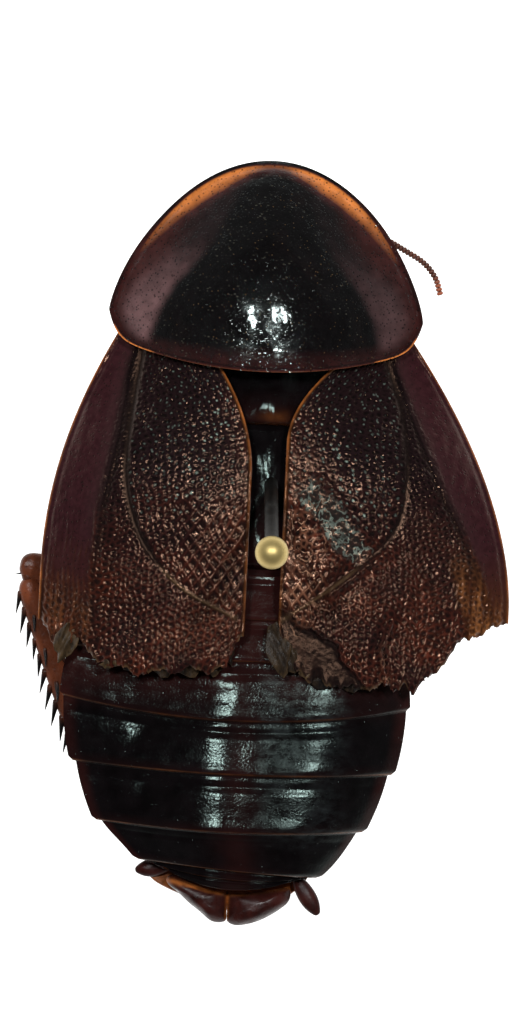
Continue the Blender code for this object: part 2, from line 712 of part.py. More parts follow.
FORE = {
    "hip": (2.3, -9.0, -2.0), "coxa_end": (1.0, -6.5, -2.35), "thigh": (1.72, -5.9, -2.5),
    "knee": (4.75, -8.75, -2.6), "ankle": (4.8, -5.4, -2.5), "toe": (4.6, -3.2, -2.75), "bow": 0.1,
    "coxa_wide": 0.85, "femur_wide": 0.46, "tibia_wide": 0.34, "thorns": 5,
}
MIDDLE = {
    "hip": (3.1, -5.2, -2.35), "coxa_end": (1.62, -2.65, -2.75), "thigh": (1.95, -1.95, -2.8),
    "knee": (6.35, -2.35, -2.25), "ankle": (4.75, 2.7, -3.85), "toe": (3.9, 5.6, -4.1), "bow": 0.15,
    "coxa_wide": 1.05, "femur_wide": 0.50, "tibia_wide": 0.36, "thorns": 7,
}
HIND_LEFT = {
    "hip": (3.1, -0.75, -2.43), "coxa_end": (1.35, 2.75, -2.88), "thigh": (1.75, 3.45, -3.0),
    "knee": (8.32, 2.3, -1.4), "ankle": (5.25, 9.6, -2.6), "toe": (3.3, 12.1, -2.9), "bow": 0.12,
    "coxa_wide": 1.25, "femur_wide": 0.64, "tibia_wide": 0.46, "thorns": 10,
}
HIND_RIGHT = dict(HIND_LEFT, knee=(7.75, 2.4, -1.6), ankle=(3.3, 8.7, -3.1), toe=(1.9, 11.3, -3.3))
LEGS = {
    "fore_left": (1, FORE), "fore_right": (-1, FORE), "mid_left": (1, MIDDLE), "mid_right": (-1, MIDDLE),
    "hind_left": (1, HIND_LEFT), "hind_right": (-1, HIND_RIGHT),
}
THORN_LENGTH = 0.85
THORN_RADIUS = 0.2
THORN_ROOT = 0.3  # how deep a thorn starts under the surface


def past_joint(end, way, next_way, half_width):
    """Where the next piece of a leg starts, so that it clears the one that ends at the joint."""
    along = way.dot(next_way)
    if along > 0.5:
        return end + next_way * (GAP + 0.08 + half_width * math.sqrt(1 - along * along))
    aside = (next_way - way * along).normalized()
    return end - way * (half_width * 0.5) + aside * (half_width + GAP + 0.1)


def leg_points(name):
    """The start and end of each piece of a leg."""
    side, leg = LEGS[name]
    hip, coxa_end, thigh, knee, ankle, toe = (
        beside(side, *leg[key]) for key in ("hip", "coxa_end", "thigh", "knee", "ankle", "toe")
    )
    femur_way = (knee - thigh).normalized()
    shin = past_joint(knee, femur_way, (ankle - knee).normalized(), leg["femur_wide"] * 0.75)
    tibia_way = (ankle - shin).normalized()
    foot = past_joint(ankle, tibia_way, (toe - ankle).normalized(), leg["tibia_wide"] * 0.8)
    return (hip, coxa_end), (thigh, knee), (shin, ankle), (foot, toe)


def make_leg(name):
    side, leg = LEGS[name]
    coxa, femur, tibia, tarsus = leg_points(name)
    make_coxa(name, leg["coxa_wide"], *coxa)
    make_femur(name, leg["femur_wide"], *femur, tibia[0])
    make_tibia(name, side, leg, *tibia)
    make_tarsus(name, *tarsus)


def make_coxa(name, wide, hip, end):
    """The broad, flat hip piece that lies against the chest."""
    sizes = [
        (0.0, wide * 0.55, 0.26), (0.15, wide * 0.92, 0.4), (0.4, wide, 0.44), (0.7, wide * 0.74, 0.4),
        (0.9, wide * 0.45, 0.33), (1.0, 0.28, 0.26),
    ]
    return add_mesh("coxa_" + name, fusiform(hip, end, sizes, 12), "leg_cuticle")


def make_femur(name, wide, start, end, next_start):
    sizes = [
        (0.0, 0.26, 0.26), (0.1, wide * 0.75, 0.32), (0.35, wide, 0.4), (0.7, wide * 0.9, 0.36),
        (0.93, wide * 0.84, 0.34), (1.0, wide * 0.56, 0.26),
    ]
    femur = add_mesh("femur_" + name, fusiform(start, end, sizes, 10), "leg_cuticle")
    way = (end - start).normalized()
    inward = next_start - end
    inward = (inward - way * inward.dot(way)).normalized()
    down = Vector((0, 0, -1))
    thorns = []
    for share in (0.45, 0.68):
        root = start.lerp(end, share) + inward * wide * 0.45 + down * 0.12
        thorns.append(thorn(root, inward * 0.55 + way * 0.4 + down * 0.45, 0.75))
    knee_root = start.lerp(end, 0.92) + inward * wide * 0.3
    thorns.append(thorn(knee_root, inward * 0.35 + way, 0.7))
    return apply_boolean(femur, "UNION", thorns)


def thorn(root, way, length):
    return spine("thorn", root, root + way.normalized() * length, THORN_RADIUS)


def make_tibia(name, side, leg, start, end):
    """The shin, slightly bowed, with rows of thorns that lean towards the foot."""
    wide = leg["tibia_wide"]
    way = (end - start).normalized()
    up = (Vector((0, 0, 1)) - way * way.z).normalized()
    out = up.cross(way).normalized()
    if out.x * side < 0:
        out = -out
    profile = [
        (0.0, 0.8, 0.3), (0.07, 1.1, 0.36), (0.2, 0.92, 0.3), (0.4, 0.96, 0.3), (0.6, 1.0, 0.3),
        (0.8, 1.0, 0.3), (0.95, 1.05, 0.31), (1.0, 0.8, 0.26),
    ]
    inset = ROUND_END

    def axis_point(share):
        straight = (start + way * inset).lerp(end - way * inset, share)
        return straight + out * leg["bow"] * 4 * share * (1 - share)

    path = [axis_point(s) for s, _, _ in profile]
    sizes = [(s, w * wide, t) for s, w, t in profile]
    tibia = add_mesh("tibia_" + name, limb(path, sizes, 8, rounded=inset), "leg_cuticle")
    draw = random.Random(name)
    count = leg["thorns"]
    rows = (
        (out + up * 0.15, count, 0.10, 0.96, 1.0),
        (out * 0.45 - up, count - 2, 0.20, 0.92, 0.85),
        (up * 0.2 - out, count // 2, 0.25, 0.97, 0.85),
    )
    thorns = []
    for facing, number, first, last, size in rows:
        facing = facing.normalized()
        for k in range(number):
            root = axis_point(mix(first, last, k / (number - 1))) + facing * (wide - THORN_ROOT)
            lean = way + facing * draw.uniform(0.75, 1.05)
            length = THORN_LENGTH * draw.uniform(0.88, 1.12) * size * min(1.0, wide / 0.4) + THORN_ROOT
            thorns.append(thorn(root, lean, length))
    return apply_boolean(tibia, "UNION", thorns)


def make_tarsus(name, start, toe):
    """Five foot joints in one skin, with two claws."""
    path, sizes = [], []
    joints = (0.0, 0.36, 0.52, 0.65, 0.76, 1.0)
    for a, b in zip(joints, joints[1:]):
        for share, radius in ((a + 0.01, 0.17), (mix(a, b, 0.35), 0.22), (mix(a, b, 0.85), 0.26)):
            path.append(start.lerp(toe, share))
            sizes.append((share, radius, radius))
    foot = add_mesh("tarsus_" + name, limb(path, sizes, 6, rounded=0.1), "leg_cuticle")
    way = (toe - start).normalized()
    across = way.cross(Vector((0, 0, 1))).normalized()
    claws = []
    for turn in (1, -1):
        root = toe - way * 0.35 + across * turn * 0.04
        tip = toe + way * 0.42 + across * turn * 0.34 - Vector((0, 0, 0.14))
        claws.append(spine("claw", root, tip, 0.15))
    return apply_boolean(foot, "UNION", claws)


# the pin and the stand


CHEST_DEPTH = 6.0  # more than the chest is thick
HOLE_SIDES = 12


def pin_way():
    return Vector((-math.tan(PIN_LEAN_RIGHT), math.tan(PIN_LEAN_BACK), 1.0)).normalized()


def turned(centre, way, profile, sides):
    """A solid turned round an axis. profile holds (distance along the axis, radius)."""
    across = way.orthogonal().normalized()
    up = way.cross(across)
    rings = [
        [
            centre + way * reach + (across * math.cos(a) + up * math.sin(a)) * radius
            for a in (2 * math.pi * i / sides for i in range(sides))
        ]
        for reach, radius in profile[1:-1]
    ]
    return loft(rings, centre + way * profile[0][0], centre + way * profile[-1][0])


def pin_channel():
    """The hole that the pin keeps open through the chest, clear of it all round."""
    radius = PIN_RADIUS + GAP
    profile = [(-CHEST_DEPTH, 0), (-CHEST_DEPTH, radius), (CHEST_DEPTH, radius), (CHEST_DEPTH, 0)]
    return add_mesh("channel", turned(PIN_ENTRY, pin_way(), profile, HOLE_SIDES), "brass")


def make_pin():
    head = PIN_ABOVE_BACK
    point = head + PIN_HEAD_RADIUS - PIN_LENGTH
    profile = [(point, 0), (point + 0.05, 0.06), (point + 2.2, PIN_RADIUS)]
    profile += [(head * share, PIN_RADIUS) for share in (-1.0, 0.0, 0.5)]
    neck = math.sqrt(PIN_HEAD_RADIUS ** 2 - PIN_RADIUS ** 2)
    profile.append((head - neck, PIN_RADIUS))
    for k in range(1, 8):
        turn = math.pi * (1 - k / 8)
        reach = head + PIN_HEAD_RADIUS * math.cos(turn)
        if reach > head - neck:
            profile.append((reach, PIN_HEAD_RADIUS * math.sin(turn)))
    profile.append((head + PIN_HEAD_RADIUS, 0))
    return add_mesh("stand_pin", turned(PIN_ENTRY, pin_way(), profile, 14), "brass")


def make_base():
    """A block with round corners, into which the pin is pushed."""
    half = BASE_SIZE / 2
    layers = ((0.0, BASE_FOOT), (BASE_FOOT, 0.0), (BASE_SIZE.z - BASE_EDGE, 0.0), (BASE_SIZE.z, BASE_EDGE))
    rings = []
    for height, inset in layers:
        ring = []
        for corner, (sx, sy) in enumerate(((1, 1), (-1, 1), (-1, -1), (1, -1))):
            for k in range(5):
                turn = math.pi / 2 * (corner + k / 4)
                radius = BASE_CORNER - inset
                ring.append(Vector((
                    sx * (half.x - BASE_CORNER) + radius * math.cos(turn),
                    sy * (half.y - BASE_CORNER) + radius * math.sin(turn), height,
                )))
        rings.append(ring)
    block = add_mesh("stand_base", loft(rings), "white_paint", 0.0)
    radius = PIN_RADIUS + GAP
    bottom = PIN_ENTRY - pin_way() * (PIN_LENGTH - PIN_ABOVE_BACK - PIN_HEAD_RADIUS + GAP)
    above = 2 * BASE_SIZE.z
    hole = turned(bottom, pin_way(), [(0, 0), (0, radius), (above, radius), (above, 0)], HOLE_SIDES)
    return apply_boolean(block, "DIFFERENCE", [add_mesh("hole", hole, "white_paint")])


def main():
    clear_scene()
    make_shield()
    for name in WINGS:
        make_wing(name)
    make_head()
    make_eye(1, "eye_left")
    make_eye(-1, "eye_right")
    for name in ANTENNAE:
        make_antenna(name)
    make_palp(1, "palp_left")
    make_palp(-1, "palp_right")
    make_prothorax()
    make_mesothorax()
    make_metathorax()
    make_abdomen()
    make_tail_plate()
    for name in CERCI:
        make_cercus(name)
    for name in LEGS:
        make_leg(name)
    make_pin()
    make_base()


main()
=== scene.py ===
"""Looks of a pinned museum specimen of a broad, short-winged cockroach, built round its packed solids.

Pieces are modelled in millimetres, with heights counted from the level of the animal's side margins, and
settle() brings each one to its place in metres. The head points along -Y and the animal's left is +X.
"""

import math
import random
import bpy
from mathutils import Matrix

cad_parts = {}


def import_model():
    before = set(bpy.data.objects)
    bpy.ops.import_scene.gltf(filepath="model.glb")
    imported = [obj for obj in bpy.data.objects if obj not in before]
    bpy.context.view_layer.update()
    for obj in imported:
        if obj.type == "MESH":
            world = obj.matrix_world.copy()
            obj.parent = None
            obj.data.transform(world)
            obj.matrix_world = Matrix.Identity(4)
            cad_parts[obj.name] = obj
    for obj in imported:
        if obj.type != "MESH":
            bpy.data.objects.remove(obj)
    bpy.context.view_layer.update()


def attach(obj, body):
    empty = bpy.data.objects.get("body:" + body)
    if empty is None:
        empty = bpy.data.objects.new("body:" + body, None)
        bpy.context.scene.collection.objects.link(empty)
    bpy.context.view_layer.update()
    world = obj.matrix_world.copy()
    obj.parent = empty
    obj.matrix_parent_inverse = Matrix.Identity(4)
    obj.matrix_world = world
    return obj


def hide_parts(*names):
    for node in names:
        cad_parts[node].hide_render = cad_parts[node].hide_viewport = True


bl_info = {
    "name": "Pinned cockroach specimen",
    "version": (1, 0, 0),
    "blender": (4, 5, 0),
    "location": "View3D > Sidebar > Specimen",
    "description": "Builds the visible pieces of a pinned cockroach and the table it stands on",
    "category": "Object",
}

from collections import namedtuple
from contextlib import contextmanager

import bpy
import numpy as np
from bpy.props import FloatProperty, FloatVectorProperty, IntProperty, PointerProperty
from mathutils import Matrix, Vector

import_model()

MM = 0.001
BODY_Z = 26.0  # level of the side margins above the block's underside, in millimetres
UP = Vector((0.0, 0.0, 1.0))
ORIGIN = (0.0, 0.0, 0.0)
WELD = 0.0005  # points nearer than this are joined, in millimetres


# sizes and colours that a user would change


def length(name, description, default):
    return FloatProperty(
        name=name, description=description, default=default, min=0.0, precision=5,
        unit="LENGTH", subtype="DISTANCE",
    )


def angle(name, description, degrees):
    return FloatProperty(name=name, description=description, default=math.radians(degrees), subtype="ANGLE")


def amount(name, description, default):
    return FloatProperty(name=name, description=description, default=default, min=0.0)


def number(name, description, default):
    return IntProperty(name=name, description=description, default=default, min=20)


def colour(name, description, default):
    return FloatVectorProperty(
        name=name, description=description, default=default, size=3, min=0.0, max=1.0, subtype="COLOR"
    )


class SpecimenSizes(bpy.types.PropertyGroup):
    """Sizes of the fine parts that the solids leave to the looks"""

    shield_thickness: length("Shield thickness", "Thickness of the neck shield", 0.00028)
    wing_thickness: length("Wing case thickness", "Thickness of a wing case", 0.00014)
    net_height: length("Net height", "How far the net of veins stands out of a wing case", 0.00006)
    furrow_depth: length("Furrow depth", "Depth of the curved furrow across a wing case", 0.00006)
    plate_step: length("Plate step", "How far each back plate stands over the next", 0.00020)
    bead_pitch: length("Bead pitch", "Length of one bead of a feeler", 0.000145)
    bead_radius: length("Bead radius", "Half thickness of a feeler at its root", 0.00016)
    thorn_length: length("Thorn length", "Length of a thorn on a hind shin", 0.00088)
    pin_radius: length("Pin radius", "Half thickness of the pin's shaft", 0.00025)
    pin_head_radius: length("Pin head radius", "Half width of the pin's head", 0.0006)
    wing_columns: number("Wing columns", "Mesh faces across a wing case", 188)
    wing_rows: number("Wing rows", "Mesh faces along a wing case", 256)


class SpecimenColours(bpy.types.PropertyGroup):
    """Colours of the cuticle, the pin and the block"""

    black: colour("Black", "Darkest cuticle", (0.0038, 0.0027, 0.0031))
    maroon: colour("Maroon", "Dark red-brown cuticle", (0.038, 0.0095, 0.0085))
    # amber of thin cuticle; its brightness is partly a painted glow standing in for light shining through
    # from below
    amber: colour("Amber", "Thin cuticle that lets light through", (0.68, 0.205, 0.045))
    rust: colour("Rust", "Red-brown of veins and legs", (0.13, 0.034, 0.014))
    tan: colour("Tan", "Dry skin and pale veins", (0.22, 0.13, 0.06))
    # painted sheen: a greyish reflection laid on the shield's side lobes and along the wing cases' radius
    bloom: colour("Bloom", "Greyish bloom on the shield's side lobes", (0.145, 0.074, 0.074))
    feeler: colour("Feeler", "Amber-brown of the feelers", (0.115, 0.032, 0.016))
    brass: colour("Brass", "The pin's head", (0.52, 0.39, 0.15))
    steel: colour("Steel", "The pin's shaft", (0.034, 0.032, 0.030))
    block: colour("Block", "Paint of the block", (0.78, 0.77, 0.74))


class SpecimenStage(bpy.types.PropertyGroup):
    """The camera, the lights and the table"""

    height: length("Camera height", "Camera above the specimen", 0.300)
    field: length("Field", "Long side of the view at the specimen", 0.0379)
    turn: angle("Turn", "How far the view is turned about the vertical", 2.7)
    lean_side: angle("Side lean", "Angle of each lamp from the vertical, to its side", 13.0)
    lean_head: angle("Head lean", "Angle of the lamps from the vertical, towards the head", 11.5)
    lamp_size: length("Lamp size", "Width of a lamp", 0.034)
    lamp_power: amount("Lamp power", "Power of each lamp in watts", 0.38)
    sky_low: amount("Backdrop", "Brightness at the horizon", 0.72)
    sky_side: amount("Walls", "Brightness of the walls", 0.16)
    sky_high: amount("Ceiling", "Brightness overhead", 0.025)
    glow: amount("Table glow", "Light that the light table gives", 0.90)
    floor: colour("Floor", "Colour of the table", (0.92, 0.915, 0.90))


def sizes():
    return bpy.context.scene.specimen_sizes


def colours():
    return bpy.context.scene.specimen_colours


# ways of measuring

WAVES = 7  # waves that make up an unevenness
CELL_TABLE = 128  # rows and columns of strewn points, after which they repeat


def smooth(t):
    t = unit(t)
    return t * t * (3.0 - 2.0 * t)


def unit(values):
    return np.clip(values, 0.0, 1.0)


def rise(value, start, run):
    """0 up to the start, then smoothly up to 1 over the run."""
    return smooth((value - start) / run)


def fade(value, start, run):
    """1 up to the start, then smoothly down to 0 over the run."""
    return 1 - rise(value, start, run)


def mix(a, b, t):
    return a + (b - a) * t


def bell(distance, width):
    return np.exp(-((distance / width) ** 2))


def toward(start, end):
    return (end - start).normalized()


def midline(y):
    """The body leans a little: the midline of the shield and that of the abdomen lie apart."""
    return mix(-0.2, 0.28, smooth((np.asarray(y, float) + 5.0) / 10.0))


def ripple(x, y, per_mm, seed):
    """A gentle unevenness between -1 and 1, the same each run."""
    draw = np.random.default_rng(seed)
    total = np.zeros(np.broadcast(x, y).shape)
    drawn = [draw.uniform(low, high, WAVES) for low, high in ((0, math.pi), (0, 7), (0.6, 1.6))]
    for turn, phase, pace in zip(*drawn):
        total += np.sin((x * math.cos(turn) + y * math.sin(turn)) * per_mm * pace * 2 * math.pi + phase)
    return total / (WAVES / 2)


def off_line(x, y, line):
    """Distance from each point to a line of stops, and how far along the line its nearest point lies."""
    stops = np.asarray(line, float)
    best = np.full(x.shape, 1e9)
    reach = np.zeros(x.shape)
    passed = 0.0
    for a, b in zip(stops, stops[1:]):
        way = b - a
        long = float(np.hypot(*way))
        t = unit(((x - a[0]) * way[0] + (y - a[1]) * way[1]) / long ** 2)
        gap = np.hypot(x - a[0] - way[0] * t, y - a[1] - way[1] * t)
        reach = np.where(gap < best, passed + t * long, reach)
        best = np.minimum(best, gap)
        passed += long
    return best, reach / passed


def curve_through(stops, steps):
    """Points along a smooth curve through the stops."""
    stops = np.asarray(stops, float)
    ends = np.vstack((stops[0] * 2 - stops[1], stops, stops[-1] * 2 - stops[-2]))
    path = []
    for p0, p1, p2, p3 in zip(ends, ends[1:], ends[2:], ends[3:]):
        for t in np.arange(steps) / steps:
            bend, twist = 2 * p0 - 5 * p1 + 4 * p2 - p3, 3 * p1 - p0 - 3 * p2 + p3
            path.append(0.5 * (2 * p1 + (p2 - p0) * t + bend * t * t + twist * t ** 3))
    path.append(stops[-1])
    return np.array(path)


def evenly(line, count):
    """Points at even distances along a closed line, the first at its first point, and those distances."""
    closed = np.vstack((line, line[:1]))
    reach = np.concatenate(([0.0], np.cumsum(np.hypot(*np.diff(closed, axis=0).T))))
    at = np.linspace(0.0, reach[-1], count)
    return np.column_stack([np.interp(at, reach, closed[:, k]) for k in range(2)]), at


def cells(a, b, jitter, seed):
    """Distances from each point to the nearest and the second nearest of points strewn one to a cell."""
    strewn = np.random.default_rng(seed).uniform(-jitter, jitter, (2, CELL_TABLE, CELL_TABLE))
    column, row = np.floor(a).astype(int), np.floor(b).astype(int)
    first = np.full(a.shape, 9.0)
    second = first.copy()
    for i in (-1, 0, 1):
        for j in (-1, 0, 1):
            here = ((column + i) % CELL_TABLE, (row + j) % CELL_TABLE)
            stagger = 0.25 + 0.5 * ((column + i) % 2)
            gap = np.hypot(a - column - i - 0.5 - strewn[0][here], b - row - j - stagger - strewn[1][here])
            second = np.minimum(second, np.maximum(first, gap))
            first = np.minimum(first, gap)
    return first, second


# ways of modelling


def deselect():
    bpy.ops.object.select_all(action="DESELECT")


def only(*objs):
    deselect()
    for obj in objs:
        obj.select_set(True)
    bpy.context.view_layer.objects.active = objs[0]


@contextmanager
def editing(obj):
    """Edit mode, with all of a mesh selected at its start."""
    only(obj)
    bpy.ops.object.mode_set(mode="EDIT")
    bpy.ops.mesh.select_all(action="SELECT")
    yield
    bpy.ops.object.mode_set(mode="OBJECT")


def modify(obj, kind, **settings):
    """Adds a modifier and applies it."""
    only(obj)
    modifier = obj.modifiers.new(kind.title(), kind)
    for name, value in settings.items():
        setattr(modifier, name, value)
    bpy.ops.object.modifier_apply(modifier=modifier.name)


def subdivide(obj, levels):
    modify(obj, "SUBSURF", levels=levels, render_levels=levels)


def thicken(obj, thickness):
    """Gives an open sheet its thickness, below it."""
    face_up(obj)
    modify(obj, "SOLIDIFY", thickness=thickness, offset=-1.0, use_even_offset=False)


def read(obj):
    points = np.empty(len(obj.data.vertices) * 3, np.float32)
    obj.data.vertices.foreach_get("co", points)
    return points.reshape(-1, 3).astype(float).T


def drape(obj, x, y, z):
    """Moves every point of a piece to its place."""
    points = np.column_stack(np.broadcast_arrays(x, y, z)).astype(np.float32)
    obj.data.vertices.foreach_set("co", points.ravel())
    obj.data.update()


def paint(obj, **values):
    """Keeps values for each point, which a material reads by their names. What isn't painted reads as 0."""
    for name, value in values.items():
        found = obj.data.attributes.get(name) or obj.data.attributes.new(name, "FLOAT", "POINT")
        value = np.broadcast_to(value, (len(obj.data.vertices),))
        found.data.foreach_set("value", np.ascontiguousarray(value, np.float32))


def grid(name, across, along):
    """A flat grid, with each point's share of the way across and along it."""
    deselect()
    bpy.ops.mesh.primitive_grid_add(x_subdivisions=across, y_subdivisions=along, size=1.0, calc_uvs=False)
    obj = bpy.context.object
    obj.name = name
    x, y, _ = read(obj)
    return obj, unit(x + 0.5), unit(y + 0.5)


def face_up(obj):
    """Turns an open sheet's faces upwards, where it was draped the other way round."""
    normals = np.empty(len(obj.data.polygons) * 3, np.float32)
    obj.data.polygons.foreach_get("normal", normals)
    if normals[2::3].sum() < 0:
        with editing(obj):
            bpy.ops.mesh.flip_normals()


def weld(obj, fill=True):
    """Joins points that lie together, closes the ends and turns the faces outwards."""
    with editing(obj):
        bpy.ops.mesh.remove_doubles(threshold=WELD)
        if fill:
            bpy.ops.mesh.select_all(action="SELECT")
            bpy.ops.mesh.fill_holes(sides=0)
            bpy.ops.mesh.select_all(action="SELECT")
            bpy.ops.mesh.normals_make_consistent(inside=False)


def sleeve(name, rings):
    """A grid to be rolled up round rings of points, with each point's ring and its place on the ring."""
    count, around = rings.shape[:2]
    obj, u, v = grid(name, around, count - 1)
    return obj, np.rint(v * (count - 1)).astype(int), np.rint(u * around).astype(int) % around


def wrap(name, rings):
    """A closed skin round rings of points."""
    rings = np.array(rings)
    obj, ring, point = sleeve(name, rings)
    drape(obj, *rings[ring, point].T)
    weld(obj)
    return obj


def plate(name, outline, centre, around, rings, crowd=1.0):
    """A flat plate in rings that shrink from a closed outline to a centre. It comes with each point's
    distance round the outline and its share of the way out."""
    obj, u, v = grid(name, around, rings)
    edge, at = evenly(np.asarray(outline, float), around + 1)
    turn = np.rint(u * around).astype(int)
    share = 1 - (1 - v) ** crowd
    x = mix(centre[0], edge[turn, 0], share)
    y = mix(centre[1], edge[turn, 1], share)
    return obj, x, y, at[turn], share, np.hypot(edge[turn, 0] - centre[0], edge[turn, 1] - centre[1])


def close_plate(obj, thickness):
    weld(obj, fill=False)
    thicken(obj, thickness)


def grow(name, stations, sides=12, levels=2):
    """A closed limb along +Z, extruded ring by ring from a circle. A station is how far along it lies, its
    half width and, where they aren't the same and none, its half thickness and its shift sideways."""
    stations = [(*station, *(station[1], 0.0)[len(station) - 2:]) for station in stations]
    reach, wide, thick, shift = stations[0]
    deselect()
    bpy.ops.mesh.primitive_circle_add(vertices=sides, radius=1.0, fill_type="NGON")
    obj = bpy.context.object
    obj.name = name
    with editing(obj):
        bpy.ops.transform.resize(value=(wide, thick, 1.0), center_override=ORIGIN)
        bpy.ops.transform.translate(value=(shift, 0.0, reach))
        for station in stations[1:]:
            last_reach, last_wide, last_thick, last_shift = reach, wide, thick, shift
            reach, wide, thick, shift = station
            way = (shift - last_shift, 0.0, reach - last_reach)
            bpy.ops.mesh.extrude_region_move(TRANSFORM_OT_translate={"value": way})
            growth = (wide / last_wide, thick / last_thick, 1.0)
            bpy.ops.transform.resize(value=growth, center_override=(shift, 0.0, reach))
        bpy.ops.mesh.select_all(action="SELECT")
        bpy.ops.mesh.normals_make_consistent(inside=False)
    if levels:
        subdivide(obj, levels)
    return obj


def globe(segments, rings, radius, stretch):
    """A round solid at the origin, stretched along its axes."""
    deselect()
    bpy.ops.mesh.primitive_uv_sphere_add(segments=segments, ring_count=rings, radius=radius)
    obj = bpy.context.object
    with editing(obj):
        bpy.ops.transform.resize(value=stretch, center_override=ORIGIN)
    return obj


def tapered(long, sizes, ends=0.1):
    """Stations of a limb from (share of the length, half width, half thickness), its ends rounded."""
    def end(reach, size):
        return reach, size[1] * 0.45, size[-1] * 0.45
    stations = [(mix(ends, long - ends, size[0]), size[1], size[-1]) for size in sizes]
    return [end(0.0, sizes[0]), *stations, end(long, sizes[-1])]


def aim(obj, start, end, flat=UP):
    """Turns a piece grown along +Z so that it runs from start towards end, its thin side along flat."""
    along = toward(Vector(start), Vector(end))
    across = Vector(flat).cross(along).normalized()
    turn = Matrix((across, along.cross(across), along)).transposed()
    obj.matrix_world = Matrix.Translation(start) @ turn.to_4x4()


def straight(name, start, end, sizes, flat=UP, sides=12, levels=2, ends=0.1):
    """A limb grown between two points."""
    start, end = Vector(start), Vector(end)
    obj = grow(name, tapered((end - start).length, sizes, ends), sides, levels)
    aim(obj, start, end, flat)
    return obj


def joined(name, *objs):
    """One piece out of several, with their places applied first."""
    only(*objs)
    bpy.ops.object.transform_apply(location=True, rotation=True, scale=True)
    if len(objs) > 1:
        bpy.ops.object.join()
    obj = bpy.context.object
    obj.name = obj.data.name = name
    return obj


def settle(obj, finish_name, *nodes, lift=BODY_Z, sharp=None):
    """Brings a finished piece from millimetres to its place in the frame, where it stands for its nodes."""
    only(obj)
    obj.scale = (MM, MM, MM)
    obj.location.z = lift * MM
    bpy.ops.object.transform_apply(location=True, rotation=True, scale=True)
    obj.data.materials.clear()
    obj.data.materials.append(finish_of(finish_name))
    if sharp:
        bpy.ops.object.shade_smooth_by_angle(angle=math.radians(sharp))
    else:
        bpy.ops.object.shade_smooth()
    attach(obj, "root")
    if nodes:
        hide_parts(*nodes)


# finishes


class Wire:
    """The output of a node in a finish. Its sums and products are wires too."""

    def __init__(self, finish, socket):
        self.finish, self.socket = finish, socket

    def __add__(self, other):
        return self.finish.math("ADD", self, other)

    def __sub__(self, other):
        return self.finish.math("SUBTRACT", self, other)

    def __mul__(self, other):
        return self.finish.math("MULTIPLY", self, other)

    def __abs__(self):
        return self.finish.math("ABSOLUTE", self, 0.0)

    def spread(self, low=0.3, high=0.7, to_low=0.0, to_high=1.0):
        inputs = {"Value": self, "From Min": low, "From Max": high, "To Min": to_low, "To Max": to_high}
        return self.finish.add("ShaderNodeMapRange", "Result", inputs)


class Finish:
    """One procedural material, wired node by node. Patterns are given per millimetre. Colours are laid over
    one another with coat, and bumps add up."""

    def __init__(self, name, sockets):
        self.material = bpy.data.materials.new(name)
        self.material.use_nodes = True
        self.tree = self.material.node_tree
        self.shader = self.tree.nodes["Principled BSDF"]
        for socket, value in sockets.items():
            self.shader.inputs[socket.replace("_", " ")].default_value = value
        self.place = self.add("ShaderNodeTexCoord", "Object")
        self.base = self.rough = self.normal = None

    def add(self, kind, output, inputs=(), **settings):
        node = self.tree.nodes.new(kind)
        for name, value in settings.items():
            setattr(node, name, value)
        for socket, value in dict(inputs).items():
            if isinstance(value, Wire):
                self.tree.links.new(value.socket, node.inputs[socket])
            else:
                node.inputs[socket].default_value = value
        return Wire(self, node.outputs[output])

    def stretched(self, stretch):
        if stretch is None:
            return self.place
        return self.add("ShaderNodeMapping", "Vector", {"Vector": self.place, "Scale": stretch})

    def noise(self, per_mm, detail=3.0, stretch=None, rough=0.5):
        inputs = {"Scale": per_mm / MM, "Detail": detail, "Roughness": rough}
        return self.add("ShaderNodeTexNoise", "Fac", {"Vector": self.stretched(stretch), **inputs})

    def dots(self, per_mm, size, stretch=None):
        """1 in the middle of strewn dots and 0 outside them; size is a share of their spacing."""
        inputs = {"Vector": self.stretched(stretch), "Scale": per_mm / MM}
        return self.add("ShaderNodeTexVoronoi", "Distance", inputs).spread(size * 0.4, size, 1.0, 0.0)

    def lines(self, per_mm, detail, thin, wide):
        """1 on winding lines, which fade out between two half widths."""
        return abs(self.noise(per_mm, detail, (1.0, 0.8, 0.1)) - 0.5).spread(thin, wide, 1.0, 0.0)

    def painted(self, *names):
        return [self.add("ShaderNodeAttribute", "Fac", attribute_name=name) for name in names]

    def math(self, operation, a, b):
        return self.add("ShaderNodeMath", "Value", {0: a, 1: b}, operation=operation)

    def larger(self, a, b):
        return self.math("MAXIMUM", a, b)

    def blend(self, share, a, b, kind="MIX"):
        a, b = (colour if isinstance(colour, Wire) else (*colour, 1.0) for colour in (a, b))
        return self.add("ShaderNodeMix", 2, {0: share, 6: a, 7: b}, data_type="RGBA", blend_type=kind)

    def mottled(self, base, per_mm, low, high):
        """Lightens and darkens a colour in soft patches."""
        shade = self.noise(per_mm, 4.0).spread(to_low=low, to_high=high)
        grey = self.add("ShaderNodeCombineColor", "Color", {0: shade, 1: shade, 2: shade})
        return self.blend(1.0, base, grey, "MULTIPLY")

    def coat(self, share, colour):
        """Lays a colour over the base."""
        self.base = self.blend(share, self.base, colour)

    def bump(self, height, depth):
        inputs = {"Height": height, "Distance": depth * MM, "Strength": 1.0}
        if self.normal:
            inputs["Normal"] = self.normal
        self.normal = self.add("ShaderNodeBump", "Normal", inputs)

    def done(self):
        for socket, wire in (("Base Color", self.base), ("Roughness", self.rough), ("Normal", self.normal)):
            if wire:
                self.tree.links.new(wire.socket, self.shader.inputs[socket])
        return self.material


Recipe = namedtuple("Recipe", "wire slot sockets")
FINISHES = {}


def finish(name, slot, **sockets):
    """Files a function that wires a finish by the finish's name, with its slot and its fixed sockets."""
    def file(wire):
        FINISHES[name] = Recipe(wire, slot, sockets)
        return wire
    return file


